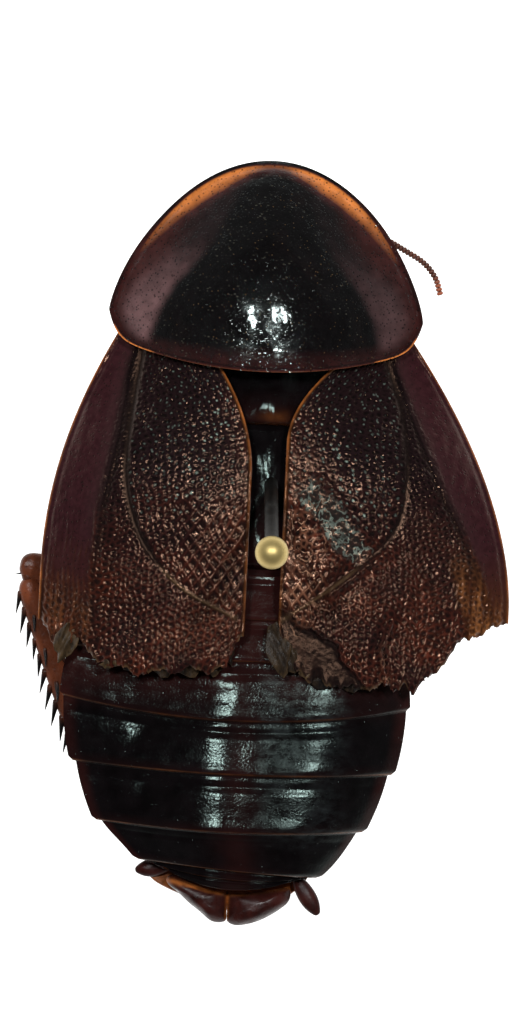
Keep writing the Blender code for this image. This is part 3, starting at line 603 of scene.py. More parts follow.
def finish_of(name):
    """A finish by its name, made the first time it is asked for."""
    found = bpy.data.materials.get(name)
    if found:
        return found
    made = Finish(name, FINISHES[name].sockets)
    FINISHES[name].wire(made, colours())
    return made.done()


def dark(factor, c):
    return tuple(part * factor for part in c)


@finish("shield cuticle", "shield_cuticle", IOR=1.5, Specular_Tint=(0.88, 1.0, 0.97, 1.0))
def shield_finish(made, c):
    """Glossy near-black cuticle with fine pits, amber where thin and greyish on the side lobes."""
    amber, red, disc, lobe = made.painted("amber", "red", "disc", "lobe")
    pits, fine = made.dots(7.2, 0.33), made.dots(11.0, 0.24)
    low = made.blend(red * 0.9, c.black, dark(0.95, c.maroon))
    low = made.blend(amber.spread(0.04, 0.40), low, dark(1.5, c.maroon))
    # amber of the thin margin, brightened as a painted glow of light shining through it
    made.base = made.blend(amber.spread(0.36, 0.98), low, dark(1.34, c.amber))
    made.coat(made.noise(0.45, 2.0).spread(0.55, 0.75, 0.0, 0.40) * disc, dark(0.35, c.maroon))
    # painted sheen: a greyish reflection laid on the side lobes
    made.coat(lobe * 0.92, dark(1.32, c.bloom))
    made.base = made.mottled(made.base, 2.2, 0.72, 1.25)
    made.coat(made.larger(pits, fine * 0.5) * 0.8, dark(0.8, c.black))
    # painted glints: pale specks and dashes where the pits of the disc would catch the lamps
    glints = made.dots(4.4, 0.14) * made.noise(0.5).spread(0.35, 0.55, 0.3, 1.0)
    made.coat(glints * disc, dark(0.45, c.tan))
    glint_dashes = made.dots(6.5, 0.22, (0.55, 1.0, 1.0)) * made.noise(1.2).spread(0.42, 0.60, 0.0, 0.9)
    made.coat(glint_dashes * disc, (0.060, 0.056, 0.042))
    made.rough = made.noise(2.4, 5.0).spread(0.36, 0.64, 0.08, 0.14) + lobe * 0.2
    made.bump(made.larger(pits, fine), -0.004)
    for per_mm, depth in ((5.0, 0.004), (0.8, 0.040), (1.6, 0.020)):
        made.bump(made.noise(per_mm, 2.0), depth)


@finish("wing case", "wing_case", IOR=1.5, Specular_IOR_Level=0.30, Specular_Tint=(1.0, 0.57, 0.38, 1.0))
def wing_finish(made, c):
    """Leathery red-brown wing case: glossy netted veins over dark pits, an amber rim and pale dry edges."""
    vein, curl, warm, gold, plain, shaded, bloom, sheen, spark, pale, rim = made.painted(
        "vein", "curl", "warm", "gold", "smooth", "dark", "bloom", "sheen", "spark", "pale", "rim"
    )
    warm = warm * made.noise(0.7).spread(to_low=0.45, to_high=1.25)
    ridge = made.blend(warm, (0.0130, 0.0062, 0.0075), made.mottled((0.066, 0.0140, 0.0076), 3.0, 0.30, 1.8))
    streaks = made.noise(3.6, 3.0, (1.0, 0.16, 1.0)).spread(0.38, 0.62)
    ridge = made.blend(gold, ridge, made.blend(streaks, (0.070, 0.022, 0.008), (0.27, 0.098, 0.030)))
    # lighter pinkish veins where the case is curled, partly a painted highlight of their gloss
    ridge = made.blend(curl * made.noise(2.2, 2.0).spread(0.4, 0.6), ridge, (0.20, 0.078, 0.044))
    pit = made.blend(warm, c.black, (0.0150, 0.0060, 0.0052))
    pit = made.blend(gold * 0.8, pit, (0.042, 0.014, 0.006))
    made.base = made.blend(vein, pit, ridge)
    specks = made.dots(6.5, 0.30)
    field = made.blend(made.noise(5.0).spread(0.35, 0.65), (0.027, 0.0075, 0.0100), (0.041, 0.0115, 0.0150))
    field = made.blend(gold * 0.8, field, (0.070, 0.021, 0.010))
    made.coat(plain, made.blend(specks * 0.7, field, dark(1.2, c.black)))
    # painted shade: darker in the furrow, beside the radius and over the bent-down torn corner
    made.coat(shaded, dark(1.2, c.black))
    made.coat(bloom * 0.5, dark(0.35, c.bloom))
    # painted reflection over the dent's band: a darker ground with bluish squiggles painted as its sheen
    made.coat(sheen * 0.7, (0.022, 0.021, 0.019))
    sheen_squiggles = made.lines(3.0, 3.0, 0.012, 0.055) * sheen * made.noise(1.6).spread(0.34, 0.58, 0.15, 1.0)
    made.coat(sheen_squiggles, (0.205, 0.245, 0.205))
    # painted glints: bright pinkish loops over the curled veins
    glint_loops = made.lines(2.3, 2.0, 0.006, 0.026) * curl * made.noise(1.8).spread(0.46, 0.62)
    made.coat(glint_loops, (0.62, 0.33, 0.20))
    # painted glints: bluish specks in the middles of the inner cells
    made.coat(spark, (0.34, 0.43, 0.36))
    made.coat(pale, c.tan)
    # amber rims, their brightness partly a painted glow of light shining through the thin edges
    made.coat(rim, made.mottled(dark(0.8, c.amber), 2.0, 0.35, 1.25))
    flat = made.larger(shaded, made.larger(plain, bloom))
    gloss = made.noise(3.5).spread(to_low=0.085, to_high=0.165)
    made.rough = gloss + flat * 0.07 + sheen * 0.05 + shaded * 0.30
    made.bump(made.noise(11.0), 0.007)
    made.bump(specks, -0.006)
    made.bump(made.noise(3.0, 2.0), 0.020)


@finish(
    "body cuticle", "body_cuticle", IOR=1.5, Specular_IOR_Level=0.16, Specular_Tint=(0.76, 1.0, 0.92, 1.0)
)
def body_finish(made, c):
    """Glossy near-black cuticle with red-brown edges, fine wrinkles across the body and dull patches."""
    warm, haze, rim, dull = made.painted("warm", "haze", "rim", "dull")
    warm = warm * made.noise(0.8).spread(0.3, 0.6, 0.5, 1.1)
    made.base = made.blend(warm, made.mottled(c.black, 1.4, 0.7, 1.5), dark(0.85, c.maroon))
    # painted sheen: bluish-grey streaks where the haze is painted on the abdomen's right flank
    wear_and_sheen = haze * made.noise(1.3, 7.0, (1.0, 1.7, 1.0), 0.72).spread(0.44, 0.66)
    made.coat(wear_and_sheen * 0.6, (0.026, 0.030, 0.031))
    made.coat(rim, made.mottled(dark(0.5, c.amber), 1.2, 0.2, 1.2))
    gloss = made.noise(3.2, 6.0, rough=0.7).spread(0.36, 0.64, 0.07, 0.17)
    patches = made.noise(0.9, 6.0, (1.0, 2.0, 1.0), 0.75).spread(0.42, 0.62, 0.0, 0.14)
    made.rough = gloss + wear_and_sheen * 0.06 + dull * patches
    made.bump(made.noise(1.0, 3.0, (0.35, 2.2, 1.0)), 0.012)
    made.bump(made.noise(11.0), 0.007)
    made.bump(made.dots(3.2, 0.14), -0.010)


@finish("leg cuticle", "leg_cuticle", IOR=1.5, Specular_IOR_Level=0.26)
def leg_finish(made, c):
    """Satin chestnut cuticle, darker at the joints and black on the thorns."""
    shaded, = made.painted("dark")
    streaks = made.noise(1.4, 4.0, (1.0, 0.5, 1.0)).spread()
    made.base = made.blend(streaks, dark(0.78, c.rust), dark(2.35, c.rust))
    made.coat(shaded, dark(1.3, c.black))
    made.coat(made.dots(5.0, 0.2) * 0.6, c.maroon)
    made.rough = made.noise(3.0).spread(to_low=0.24, to_high=0.42)
    made.bump(made.noise(6.0), 0.03)


@finish("tail cuticle", "tail_cuticle", IOR=1.5, Specular_IOR_Level=0.20)
def tail_finish(made, c):
    """Glossy dark red cuticle with amber seams."""
    rim, = made.painted("rim")
    made.base = made.mottled((0.030, 0.0066, 0.0052), 1.8, 0.5, 1.7)
    made.coat(rim, made.mottled(dark(0.65, c.amber), 3.0, 0.4, 1.2))
    made.rough = made.noise(2.6, 5.0).spread(0.36, 0.64, 0.22, 0.46)
    made.bump(made.noise(7.0), 0.012)
    made.bump(made.noise(2.0, 2.0), 0.02)


@finish("feeler beads", "antenna", IOR=1.45)
def feeler_finish(made, c):
    """Matte amber-brown beads that turn paler and pinker at the tip."""
    tip, seam = made.painted("tip", "seam")
    made.base = made.mottled(made.blend(tip, c.feeler, (0.50, 0.13, 0.06)), 3.0, 0.7, 1.4)
    made.coat(seam, dark(0.25, c.feeler))
    made.rough = made.noise(4.0).spread(to_low=0.42, to_high=0.6)
    made.bump(made.noise(14.0, 2.0), 0.012)


@finish("eye facets", "eye", IOR=1.5)
def eye_finish(made, c):
    """Black eye covered with fine six-sided facets."""
    made.base = made.blend(made.noise(1.5).spread(), (0.006, 0.004, 0.004), (0.020, 0.011, 0.009))
    made.rough = made.noise(5.0).spread(to_low=0.12, to_high=0.24)
    made.bump(made.dots(22.0, 0.75), 0.006)


@finish("dry skin", "wing_case", IOR=1.4, Specular_IOR_Level=0.2)
def skin_finish(made, c):
    """Dry olive-brown skin, pale or dusky, with fine creases."""
    fair, = made.painted("pale")
    creases = made.noise(2.2, 5.0, (1.6, 0.7, 1.0), 0.65)
    tone = creases.spread(0.38, 0.68)
    pale = made.blend(tone, dark(0.10, c.tan), dark(0.62, c.tan))
    made.base = made.blend(tone, (0.004, 0.0035, 0.0045), (0.022, 0.014, 0.009))
    made.coat(fair, pale)
    made.rough = made.noise(3.0).spread(to_low=0.25, to_high=0.5)
    made.bump(creases, 0.09)


@finish("pin brass", "pin_metal", Metallic=0.75)
def brass_finish(made, c):
    """Polished brass with faint turning marks."""
    made.base = made.mottled(c.brass, 0.9, 0.85, 1.1)
    made.rough = made.noise(1.5, 4.0).spread(to_low=0.38, to_high=0.48)
    made.bump(made.noise(3.0, 3.0, (1.0, 1.0, 9.0)), 0.004)


@finish("pin steel", "pin_metal", Metallic=1.0)
def steel_finish(made, c):
    """Drawn steel wire, dulled by age and scratched along its length."""
    made.base = made.mottled(c.steel, 0.8, 0.7, 1.25)
    made.rough = made.noise(1.0, 4.0).spread(to_low=0.38, to_high=0.58)
    made.bump(made.noise(5.0, 3.0, (1.0, 1.0, 0.06)), 0.006)


@finish("block paint", "base_block", IOR=1.45)
def block_finish(made, c):
    """Matte off-white paint with a fine stipple."""
    made.base = made.mottled(c.block, 0.25, 0.94, 1.04)
    made.rough = made.noise(1.2).spread(to_low=0.55, to_high=0.72)
    made.bump(made.noise(2.4, 4.0), 0.03)
    made.bump(made.dots(1.4, 0.18), 0.015)


@finish("table top", None, IOR=1.4, Emission_Color=(1.0, 0.995, 0.985, 1.0))
def table_finish(made, c):
    """Plain pale table top, which glows a little as a light table does."""
    stage = bpy.context.scene.specimen_stage
    made.shader.inputs["Base Color"].default_value = (*stage.floor, 1.0)
    made.shader.inputs["Emission Strength"].default_value = stage.glow
    made.rough = made.noise(0.02).spread(to_low=0.75, to_high=0.85)
    made.bump(made.noise(0.5, 2.0), 0.01)


# the neck shield

SHIELD_FRONT, SHIELD_WIDEST, SHIELD_REAR = -13.10, -7.3, -5.2
SHIELD_HALF_WIDTH, SHIELD_MIDLINE, SHIELD_HEIGHT = 5.83, -0.2, 2.3
SHIELD_CENTRE = (-0.2, -8.3)


def shield_front(offset):
    share = np.minimum(1.0, np.abs(offset) / SHIELD_HALF_WIDTH)
    return SHIELD_WIDEST + (SHIELD_FRONT - SHIELD_WIDEST) * (1 - share ** 2) ** (1 / 1.4)


def shield_rear(offset):
    share = np.minimum(1.0, np.abs(offset) / SHIELD_HALF_WIDTH)
    return SHIELD_REAR - 1.12 * share ** 2 - 0.98 * share ** 20


def shield_top(x, y):
    """Height of the shield: a dome with flatter side lobes, falling to the front margin."""
    depth = unit((SHIELD_WIDEST - y) / (SHIELD_WIDEST - SHIELD_FRONT))
    half_width = SHIELD_HALF_WIDTH * np.sqrt(1 - depth ** 1.4)
    share = np.minimum(1.0, np.abs(x - SHIELD_MIDLINE) / np.maximum(half_width, 0.01))
    across = 0.55 * (1 - share ** 2) + 0.45 * np.cos(math.pi / 2 * share) ** 2
    back = unit((y - SHIELD_FRONT) / (SHIELD_REAR - SHIELD_FRONT))
    dome = np.sin(math.pi / 2 * np.minimum(1.0, back / 0.75)) ** 0.9
    dome = dome - 0.06 * np.maximum(0.0, (back - 0.75) / 0.25) ** 2
    return mix(-0.5, 0.1, back) + SHIELD_HEIGHT * dome * across


def shield_outline():
    """The margin from the front's middle, round the left side and the rear, back to the front."""
    turn = np.sin(np.linspace(0.0, math.pi / 2, 200))
    left = np.column_stack((SHIELD_HALF_WIDTH * turn, shield_front(SHIELD_HALF_WIDTH * turn)))
    offset = SHIELD_HALF_WIDTH * np.sin(np.linspace(math.pi / 2, -math.pi / 2, 400))[1:-1]
    rear = np.column_stack((offset, shield_rear(offset)))
    right = left[::-1][:-1] * (-1.0, 1.0)
    return np.vstack((left, rear, right)) + (SHIELD_MIDLINE, 0.0)


def lobe_inner(y):
    """How far from the midline the shield's disc ends and its side lobe begins."""
    stops = [-12.6, -11.7, -10.0, -8.95, -8.3, -7.34, -6.0, -5.2]
    return np.interp(y, stops, [0.7, 1.35, 2.1, 2.9, 3.5, 4.02, 4.4, 4.45])


def make_shield():
    obj, x, y, at, share, radius = plate("neck_shield", shield_outline(), SHIELD_CENTRE, 360, 84, 1.5)
    whole = at.max()
    at = np.minimum(at, whole - at)
    inward = (1 - share) * radius
    offset = np.abs(x - SHIELD_MIDLINE)
    beyond = offset - lobe_inner(y)
    # where the painted greyish sheen lies: weak at the front and on the right side (-X), strongest at the
    # rear on the left, as the light falls
    lobe = smooth(beyond / 0.55 + 0.5) * rise(inward, 0.25, 0.5)
    lobe = lobe * mix(0.07, 1.0, rise(y, -10.4, 3.3)) * mix(1.0, 0.25, rise(beyond, 0.8, 1.0))
    lobe = lobe * np.where(x > SHIELD_MIDLINE, 1.0, 0.42)
    edge_red = np.maximum(rise(beyond, 0.5, 1.2), 0.25 * bell(inward - 0.1, 0.12)) * rise(y, -12.8, 2.0)
    stops = [0, 0.5, 1.2, 2.0, 3.6, 4.5, 5.6, 6.8, 10, 30]
    # amber of the thin margin; its brightness along the margin is partly a painted glow of light shining
    # through
    shine = np.interp(at, stops, [0.5, 0.55, 0.85, 1, 0.95, 0.70, 0.50, 0.32, 0.2, 0.12])
    band = np.interp(at, [0, 1, 2.2, 4.4, 6, 9], [0.62, 0.70, 0.92, 0.90, 0.95, 1.1])
    amber = shine * (1 - smooth((inward / band - 0.20) / 1.0)) * rise(inward, 0.06, 0.16)
    corner = rise(at, 9.2, 0.4) * fade(at, 11.1, 0.5)
    amber = np.maximum(amber, corner * bell(inward, 0.07))
    amber = np.maximum(amber, 0.42 * rise(at, 11, 0.5) * bell(inward, 0.09))
    z = shield_top(x, y)
    z = z - 0.02 * bell(beyond, 0.30) * rise(y, -12.0, 2.0) * rise(inward, 0.3, 0.4)
    z = z - 0.03 * bell(inward - 0.26, 0.10) * fade(at, 12.0, 1.0)
    z = z + 0.010 * ripple(x, y, 0.5, 3) * smooth(inward / 0.5)
    drape(obj, x - 0.05 * smooth((-9.0 - y) / 2.5), y, z)
    paint(
        obj, amber=amber, lobe=lobe, disc=1 - smooth(beyond / 0.5 + 0.5),
        red=edge_red * (0.8 + 0.4 * ripple(x, y, 0.3, 5)),
    )
    close_plate(obj, sizes().shield_thickness / MM)
    settle(obj, "shield cuticle", "pronotum")


# the wing cases

# costa, the outer margin: its widest place, where it starts to narrow, how fast and in what power
# inner, the inner margin: the same but for the power
# rows, gold and rays: cells across the outer net, how golden the tip is and where its rays start
# furrowed: how deep, how bare of net and how dark the furrow's painted shade is
# wide: where the wide net starts, and how far it reaches from the inner margin
# front: (share of the width, y); the other lines are (x, y)
# glint line: where the painted glints of the inner net crowd
WINGS = {
    "left": {
        "side": 1, "costa": (7.72, 2.6, 0.0268, 2.05), "inner": (0.05, -1.4, 0.085), "rows": 36, "seed": 11,
        "gold": 0.35, "rays": -1.4, "furrowed": (1.0, 1.0, 1.0), "wide": (-1.2, 1.2),
        "front": [(0.0, -5.85), (0.027, -6.2), (0.26, -6.45), (0.59, -6.7), (1.0, -6.95)],
        "torn": [
            (7.60, 4.30), (7.36, 4.62), (7.22, 5.00), (7.00, 5.22), (6.85, 5.72), (6.52, 5.20), (6.20, 4.80),
            (5.85, 5.30), (5.42, 5.72), (5.00, 5.86), (4.45, 5.80), (3.90, 6.24), (3.45, 5.98), (3.00, 5.92),
            (2.45, 6.05), (2.00, 5.70), (1.30, 6.02), (0.95, 5.70), (0.62, 5.74), (0.50, 5.20), (0.20, 4.55),
        ],
        "radius": [(4.35, -6.6), (4.75, -5.3), (5.15, -2.5), (5.62, 0.0), (5.77, 2.4), (5.62, 5.4)],
        "glint_line": [(0.95, -5.3), (1.35, -3.7), (1.9, -1.9), (2.5, -0.1)],
        "furrow": [
            (4.22, -6.6), (4.30, -5.9), (4.62, -3.2), (4.68, -1.0), (4.02, 1.12), (2.55, 2.79), (0.40, 3.90),
        ],
    },
    "right": {
        "side": -1, "costa": (9.70, 3.2, 0.066, 1.796), "inner": (1.18, -2.6, 0.19), "rows": 40, "seed": 23,
        "gold": 1.0, "rays": 0.7, "furrowed": (0.45, 0.7, 0.6), "wide": (0.9, 0.7),
        "front": [(0.0, -5.85), (0.09, -6.2), (0.33, -6.5), (0.63, -6.75), (1.0, -6.95)],
        "torn": [
            (-9.60, 3.66), (-9.28, 3.74), (-8.96, 3.88), (-8.62, 4.18), (-8.02, 4.30), (-7.62, 4.74),
            (-7.46, 5.16), (-7.20, 5.50), (-6.86, 5.66), (-6.46, 6.10), (-6.28, 6.38), (-5.95, 6.05),
            (-5.60, 6.28), (-5.10, 6.08), (-4.60, 6.36), (-3.95, 6.18), (-3.30, 6.30), (-2.70, 5.98),
            (-2.42, 6.14), (-2.00, 5.76), (-1.62, 5.62), (-1.45, 4.90), (-1.18, 4.30),
        ],
        "radius": [
            (-4.85, -6.6), (-5.10, -5.5), (-6.28, -2.85), (-7.10, -1.0), (-7.72, 0.1), (-8.40, 1.6),
            (-9.10, 3.6),
        ],
        "glint_line": [(-1.9, -4.4), (-2.7, -3.0), (-3.3, -1.6), (-4.1, -0.1)],
        "furrow": [
            (-4.66, -6.6), (-4.72, -5.9), (-5.50, -3.4), (-5.66, -1.0), (-5.20, 0.6), (-3.43, 2.35),
            (-1.30, 3.90),
        ],
    },
}


def wing_costa(wing, y):
    """Where the outer margin of a wing case lies."""
    widest, level, bend, power = wing["costa"]
    return wing["side"] * (widest - bend * np.maximum(0.0, level - y) ** power)


def wing_inner(wing, y):
    start, level, bend = wing["inner"]
    return wing["side"] * (start + bend * np.maximum(0.0, level - y) ** 2)


def wing_sheet(wing, x, y):
    """Height of a wing case without its veins: tucked under the shield, then domed over the back."""
    inner = wing_inner(wing, y)
    share = unit((x - inner) / (wing_costa(wing, y) - inner))
    outer = np.interp(y, [-7.0, 0.0, 6.5], [-0.75, -0.05, 0.3])
    dome = mix(2.25, outer, share ** 2.4)
    aside = (x - SHIELD_MIDLINE) / SHIELD_HALF_WIDTH
    edge = SHIELD_REAR - 1.12 * aside ** 2
    under = SHIELD_MIDLINE + SHIELD_HALF_WIDTH * aside / (1 + np.abs(aside) ** 8) ** 0.125
    tucked = shield_top(under, np.minimum(y, edge)) - 0.8
    return mix(tucked, dome, smooth((y - edge + 0.6) / 5.6))


def paced(y, stations, paces):
    """How many cells lie before y, where a cell's length changes along the way."""
    table = np.linspace(-7.5, 7.5, 400)
    counted = np.cumsum((table[1] - table[0]) / np.interp(table, stations, paces))
    return np.interp(y, table, counted)


def netted(wing, x, y, u):
    """The net of veins inside and outside the furrow, 1 on a vein and 0 in a pit: small cells in rows. It
    comes with spots, the middles of the inner cells."""
    span = np.interp(y, [-6, -3, -1, 1.2, 2.8, 3.8, 6], [3.2, 4.5, 4.4, 3.9, 3.2, 2.6, 2.2])
    lane = (x - wing_inner(wing, y)) * wing["side"] / span * 17 + 0.25 * ripple(x, y, 0.6, 41)
    first, second = cells(lane, paced(y, [-6, -2, 0.5, 4], [0.16, 0.19, 0.26, 0.30]), 0.34, wing["seed"])
    inner_net = 1 - smooth((second - first) / np.interp(y, [-5, -1, 2], [0.80, 0.62, 0.45]))
    spots = 1 - rise(first, 0.06, 0.16)
    lane = u * wing["rows"] + 0.25 * ripple(x, y, 0.6, 43)
    first, second = cells(lane, paced(y, [-6, -2, 1, 5], [0.16, 0.17, 0.21, 0.25]), 0.36, wing["seed"] + 1)
    outer_net = 1 - smooth((second - first) / np.interp(y, [-5, 0, 4], [0.75, 0.62, 0.55]))
    return inner_net, outer_net, spots


def crossed(inward, y, seed):
    """Thin veins that cross each other in long diamonds."""
    wobble = 0.30 * ripple(inward, y, 0.55, seed), 0.30 * ripple(inward, y, 0.55, seed + 1)
    p = inward / 0.40 + y / 0.56 + wobble[0]
    q = inward / 0.40 - y / 0.56 + wobble[1]
    return np.maximum(bell(np.abs(p - np.rint(p)), 0.15), bell(np.abs(q - np.rint(q)), 0.15))


def wing_plan(wing, u, v):
    """Places of a wing case's points seen from above, with its ragged hind edge."""
    torn = np.array(wing["torn"])
    inner = wing_inner(wing, torn[:, 1])
    torn_share = (torn[:, 0] - inner) / (wing_costa(wing, torn[:, 1]) - inner)
    order = np.argsort(torn_share)
    hind = np.interp(u, torn_share[order], torn[order, 1])
    ragged = ripple(u * 10, u * 0, 2.6, wing["seed"]) + 0.5 * ripple(u * 10, u * 0, 7.0, 5)
    hind = hind + 0.07 * np.clip(ragged, -1.2, 1.2) * smooth(u / 0.04) * smooth((1 - u) / 0.03)
    front = np.interp(u, *np.array(wing["front"]).T)
    y = mix(front, hind, v)
    return mix(wing_inner(wing, y), wing_costa(wing, y), u), y, hind - y


def make_wing(side_name):
    wing, size = WINGS[side_name], sizes()
    side = wing["side"]
    deep, bare, drawn = wing["furrowed"]
    obj, u, v = grid("wing_case_" + side_name, size.wing_columns, size.wing_rows)
    x, y, tear = wing_plan(wing, u, v)
    out = np.abs(wing_costa(wing, y) - x)
    inward = np.abs(x - wing_inner(wing, y))

    furrow, along = off_line(x, y, curve_through(wing["furrow"], 5))
    radius_x = np.interp(y, *np.array(wing["radius"])[:, ::-1].T)
    furrow_x = np.interp(y, *np.array(wing["furrow"])[:, ::-1].T)
    past = (x - radius_x) * side
    claval = smooth((furrow_x - x) * side / 0.12 + 0.5) * fade(y, 3.9, 0.1)
    costal = smooth(past / 0.3) * (1 - smooth((y - 0.9 - 1.2 * (1 - past / 3.5)) / 2.4))
    groove = bell(furrow, mix(0.12, 0.05, rise(along, 0.5, 0.3))) * deep
    cord = bell(furrow, 0.05) * rise(along, 0.70, 0.08)
    clear = 1 - np.maximum(bell(furrow, 0.13) * bare, bell(past + 0.05, 0.10) * 0.6)
    margin = rise(inward, 0.10, 0.12) * rise(out, 0.1, 0.15)

    inner_net, outer_net, spots = netted(wing, x, y, u)
    start, reach = wing["wide"]
    wide = claval * rise(y, start, 2.0) * (1 - smooth((inward - reach - 1.0 + 0.2 * (y - 1.0)) / 0.9))
    net = mix(mix(outer_net, inner_net, claval), crossed(inward, y, wing["seed"] + 2), wide)
    strength = np.interp(y, [-6.5, -4, 0, 4], [0.45, 0.62, 0.80, 0.95]) * (1 + 0.35 * ripple(x, y, 0.45, 8))
    net = net * (1 - costal) * clear * margin
    outer = past if side > 0 else past + 1.1 * rise(y, -0.4, 1.4)
    rays = bell(((u * wing["rows"] * 1.05 + 0.3 * ripple(x, y, 0.4, 3)) % 1.0) - 0.5, 0.20)
    rays = rays * smooth(outer / 0.2) * rise(y, wing["rays"], 2.6) * (0.6 + 0.5 * ripple(x, y, 0.8, 5))
    gold = rise(outer, -0.1, 0.5) * rise(y, 0.6, 2.6) * (0.85 + 0.25 * ripple(x, y, 0.5, 33))
    gold = gold * wing["gold"]
    dent, curl, sheen, shade = crumple(x, y) if side < 0 else (0.0, 0.0, 0.0, 0.0)
    kept = (1 - 0.5 * sheen) * (1 - 0.75 * shade) * (1 - 0.55 * curl)
    relief = size.net_height / MM * net * strength * kept
    lane = (x - wing_inner(wing, y)) * side / 0.39 + 0.12 * (y + 3.0)
    cords = bell((lane + 0.15 * ripple(x, y, 0.5, 63)) % 1.0 - 0.5, 0.17) * claval * rise(lane, 3.0, 1.5)
    cords = cords * fade(y, -1.5, 1.5) * (0.5 + 0.5 * ripple(x, y * 2.0, 1.6, 64))
    relief = relief + 0.022 * np.maximum(cords, 0.0)

    z = wing_sheet(wing, x, y) + relief
    z = z - size.furrow_depth / MM * groove * fade(along, 0.68, 0.1) + 0.05 * cord
    seam = rise(y, -5.6, 1.0) * fade(y, -1.0, 3.0)
    z = z + (0.018 * bell(past, 0.09) - 0.02 * bell(past + 0.20, 0.12)) * seam + 0.018 * rays
    z = z + 0.03 * ripple(x, y, 0.28, wing["seed"]) + 0.010 * ripple(x, y, 1.3, 4)
    z = z + 0.05 * bell(inward - 0.06, 0.07) - 0.03 * bell(out - 0.2, 0.08)
    z = z + 0.10 * bell(tear, 0.35) * ripple(u * 10, v, 1.1, 9) - 0.06 * bell(tear, 0.12)
    drape(obj, x, y, z + dent)

    warm = rise(y, -2.2, 6.0) * mix(0.75, 1.0, claval) + 0.40 * bell(inward, 0.6) * rise(y, -5.0, 2.0)
    # the warm colour is dimmed in the painted shade of the bent-down corner
    warm = unit(warm * (1 + 0.4 * ripple(x, y, 0.35, 6)) * (1 - 0.8 * shade) + 0.5 * curl)
    curls = 0.22 * bell(inward - 0.7, 0.9) * bell(y - 1.4, 2.2)
    if side < 0:
        curls = bell(inward - 0.7, 0.6) * bell(y - 2.2, 2.6)
    # amber rims on both margins, partly a painted glow of light shining through
    rim = 0.95 * bell(out, 0.05) * np.interp(y, [-6.8, -5.5, 3, 5], [0.5, 1, 0.9, 0.5])
    inner_rim = np.interp(y, [-6.4, -5.8, -4.0, -1.5, 3.0], [0.4, 1.0, 0.9, 0.4, 0.25])
    inner_rim = inner_rim * bell(inward - 0.02, 0.07)
    # painted sheen along the radius
    streak = 0.6 * bell(past, 0.06) * rise(y, -5.0, 1.0)
    bloom = np.maximum(0.5 * bell(past - 0.25, 0.30) * smooth(past / 0.1), streak) * (1 - smooth(y / 2.5))
    # painted glints in the middles of the inner cells, crowded along the glint line
    glint_line, _ = off_line(x, y, wing["glint_line"])
    spark = spots * claval * clear * margin * (bell(glint_line, 0.45) + 0.35) * fade(y, -0.2, 1.0)
    spark = spark * smooth((ripple(x, y, 2.4, 71) - 0.05) / 0.4) * (1 - sheen)
    # painted shade: darker in the furrow, in the groove beside the radius and over the bent-down corner
    line = bell(furrow, 0.12) * fade(along, 0.66, 0.1) * drawn
    line = line + 0.5 * bell(past + 0.2, 0.1) * fade(y, 1.0, 2.0) + 0.75 * shade
    pale = 0.34 * cord + 0.30 * bell(tear, 0.08) * (ripple(u * 10, v, 0.8, 7) > 0.1)
    rim = np.maximum(rim, inner_rim) * (0.85 + 0.3 * ripple(x, y, 0.6, 2))
    paint(
        obj, spark=unit(spark), vein=unit(net + rays * 0.9 * rise(y, -1.5, 3)), curl=unit(curls + 0.4 * curl),
        gold=unit(gold), sheen=unit(0.95 * sheen), warm=warm, smooth=unit(costal * (1 - 0.5 * rays)),
        dark=unit(line), bloom=bloom, pale=unit(pale), rim=unit(rim),
    )
    thicken(obj, size.wing_thickness / MM)
    settle(obj, "wing case", "tegmen_" + side_name)


def crumple(x, y):
    """The right wing case is dented behind its middle and bent down at its torn inner corner. It comes with
    how curly, how creased and shiny, and how shaded each point is."""
    _, along = off_line(x, y, [(-1.74, -1.30), (-4.29, 1.54)])
    across = (x + 3.0) * 0.744 + (y - 0.1) * 0.668
    length = smooth(along / 0.15) * smooth((1 - along) / 0.08)
    uneven = 0.14 * ripple(x, y, 0.8, 36)
    flank = length * smooth((across + 0.60 + uneven) / 0.35) * smooth((0.66 - across + uneven) / 0.2)
    ramp = np.clip((x + 3.0) * 0.35 + (y - 0.1) * 0.94, -0.8, 0.8)
    dent = (0.022 * ripple(x * 1.4, y * 1.4, 1.1, 31) - 0.12 * ramp) * flank
    dent = dent - 0.10 * length * bell(across + 0.72, 0.12) + 0.07 * length * bell(across - 0.66, 0.15)
    crease, reach = off_line(x, y, [(-3.0, 2.9), (-4.2, 1.9), (-5.25, 1.15)])
    dent = dent + 0.10 * bell(crease, 0.13) * smooth((1 - reach) / 0.3) - 0.06 * bell(crease - 0.3, 0.2)
    slit, reach = off_line(x, y, [(-5.25, 6.0), (-5.0, 4.9), (-5.35, 3.9)])
    dent = dent + 0.16 * bell(slit, 0.10) - 0.12 * bell(slit - 0.25, 0.15)
    corner = np.interp(x, [-4.9, -4.7, -3.71, -2.37, -1.1], [6.6, 6.33, 5.08, 4.04, 3.39])
    shade = smooth((y - corner) / 0.35 + 0.5 * ripple(x, y, 0.9, 35)) * rise(x, -5.0, 0.5)
    dent = dent - 0.30 * shade
    curl = np.maximum(bell(x + 1.9, 0.95) * bell(y - 1.0, 2.2), bell(slit, 0.18) * (1 - reach)) * (1 - shade)
    tilt = 0.11 * (x + 1.9) + 0.09 * (y - 1.0)
    return dent + (tilt + 0.05 * ripple(x, y, 0.9, 17)) * curl, curl, flank, shade


def make_wings():
    for side_name in WINGS:
        make_wing(side_name)


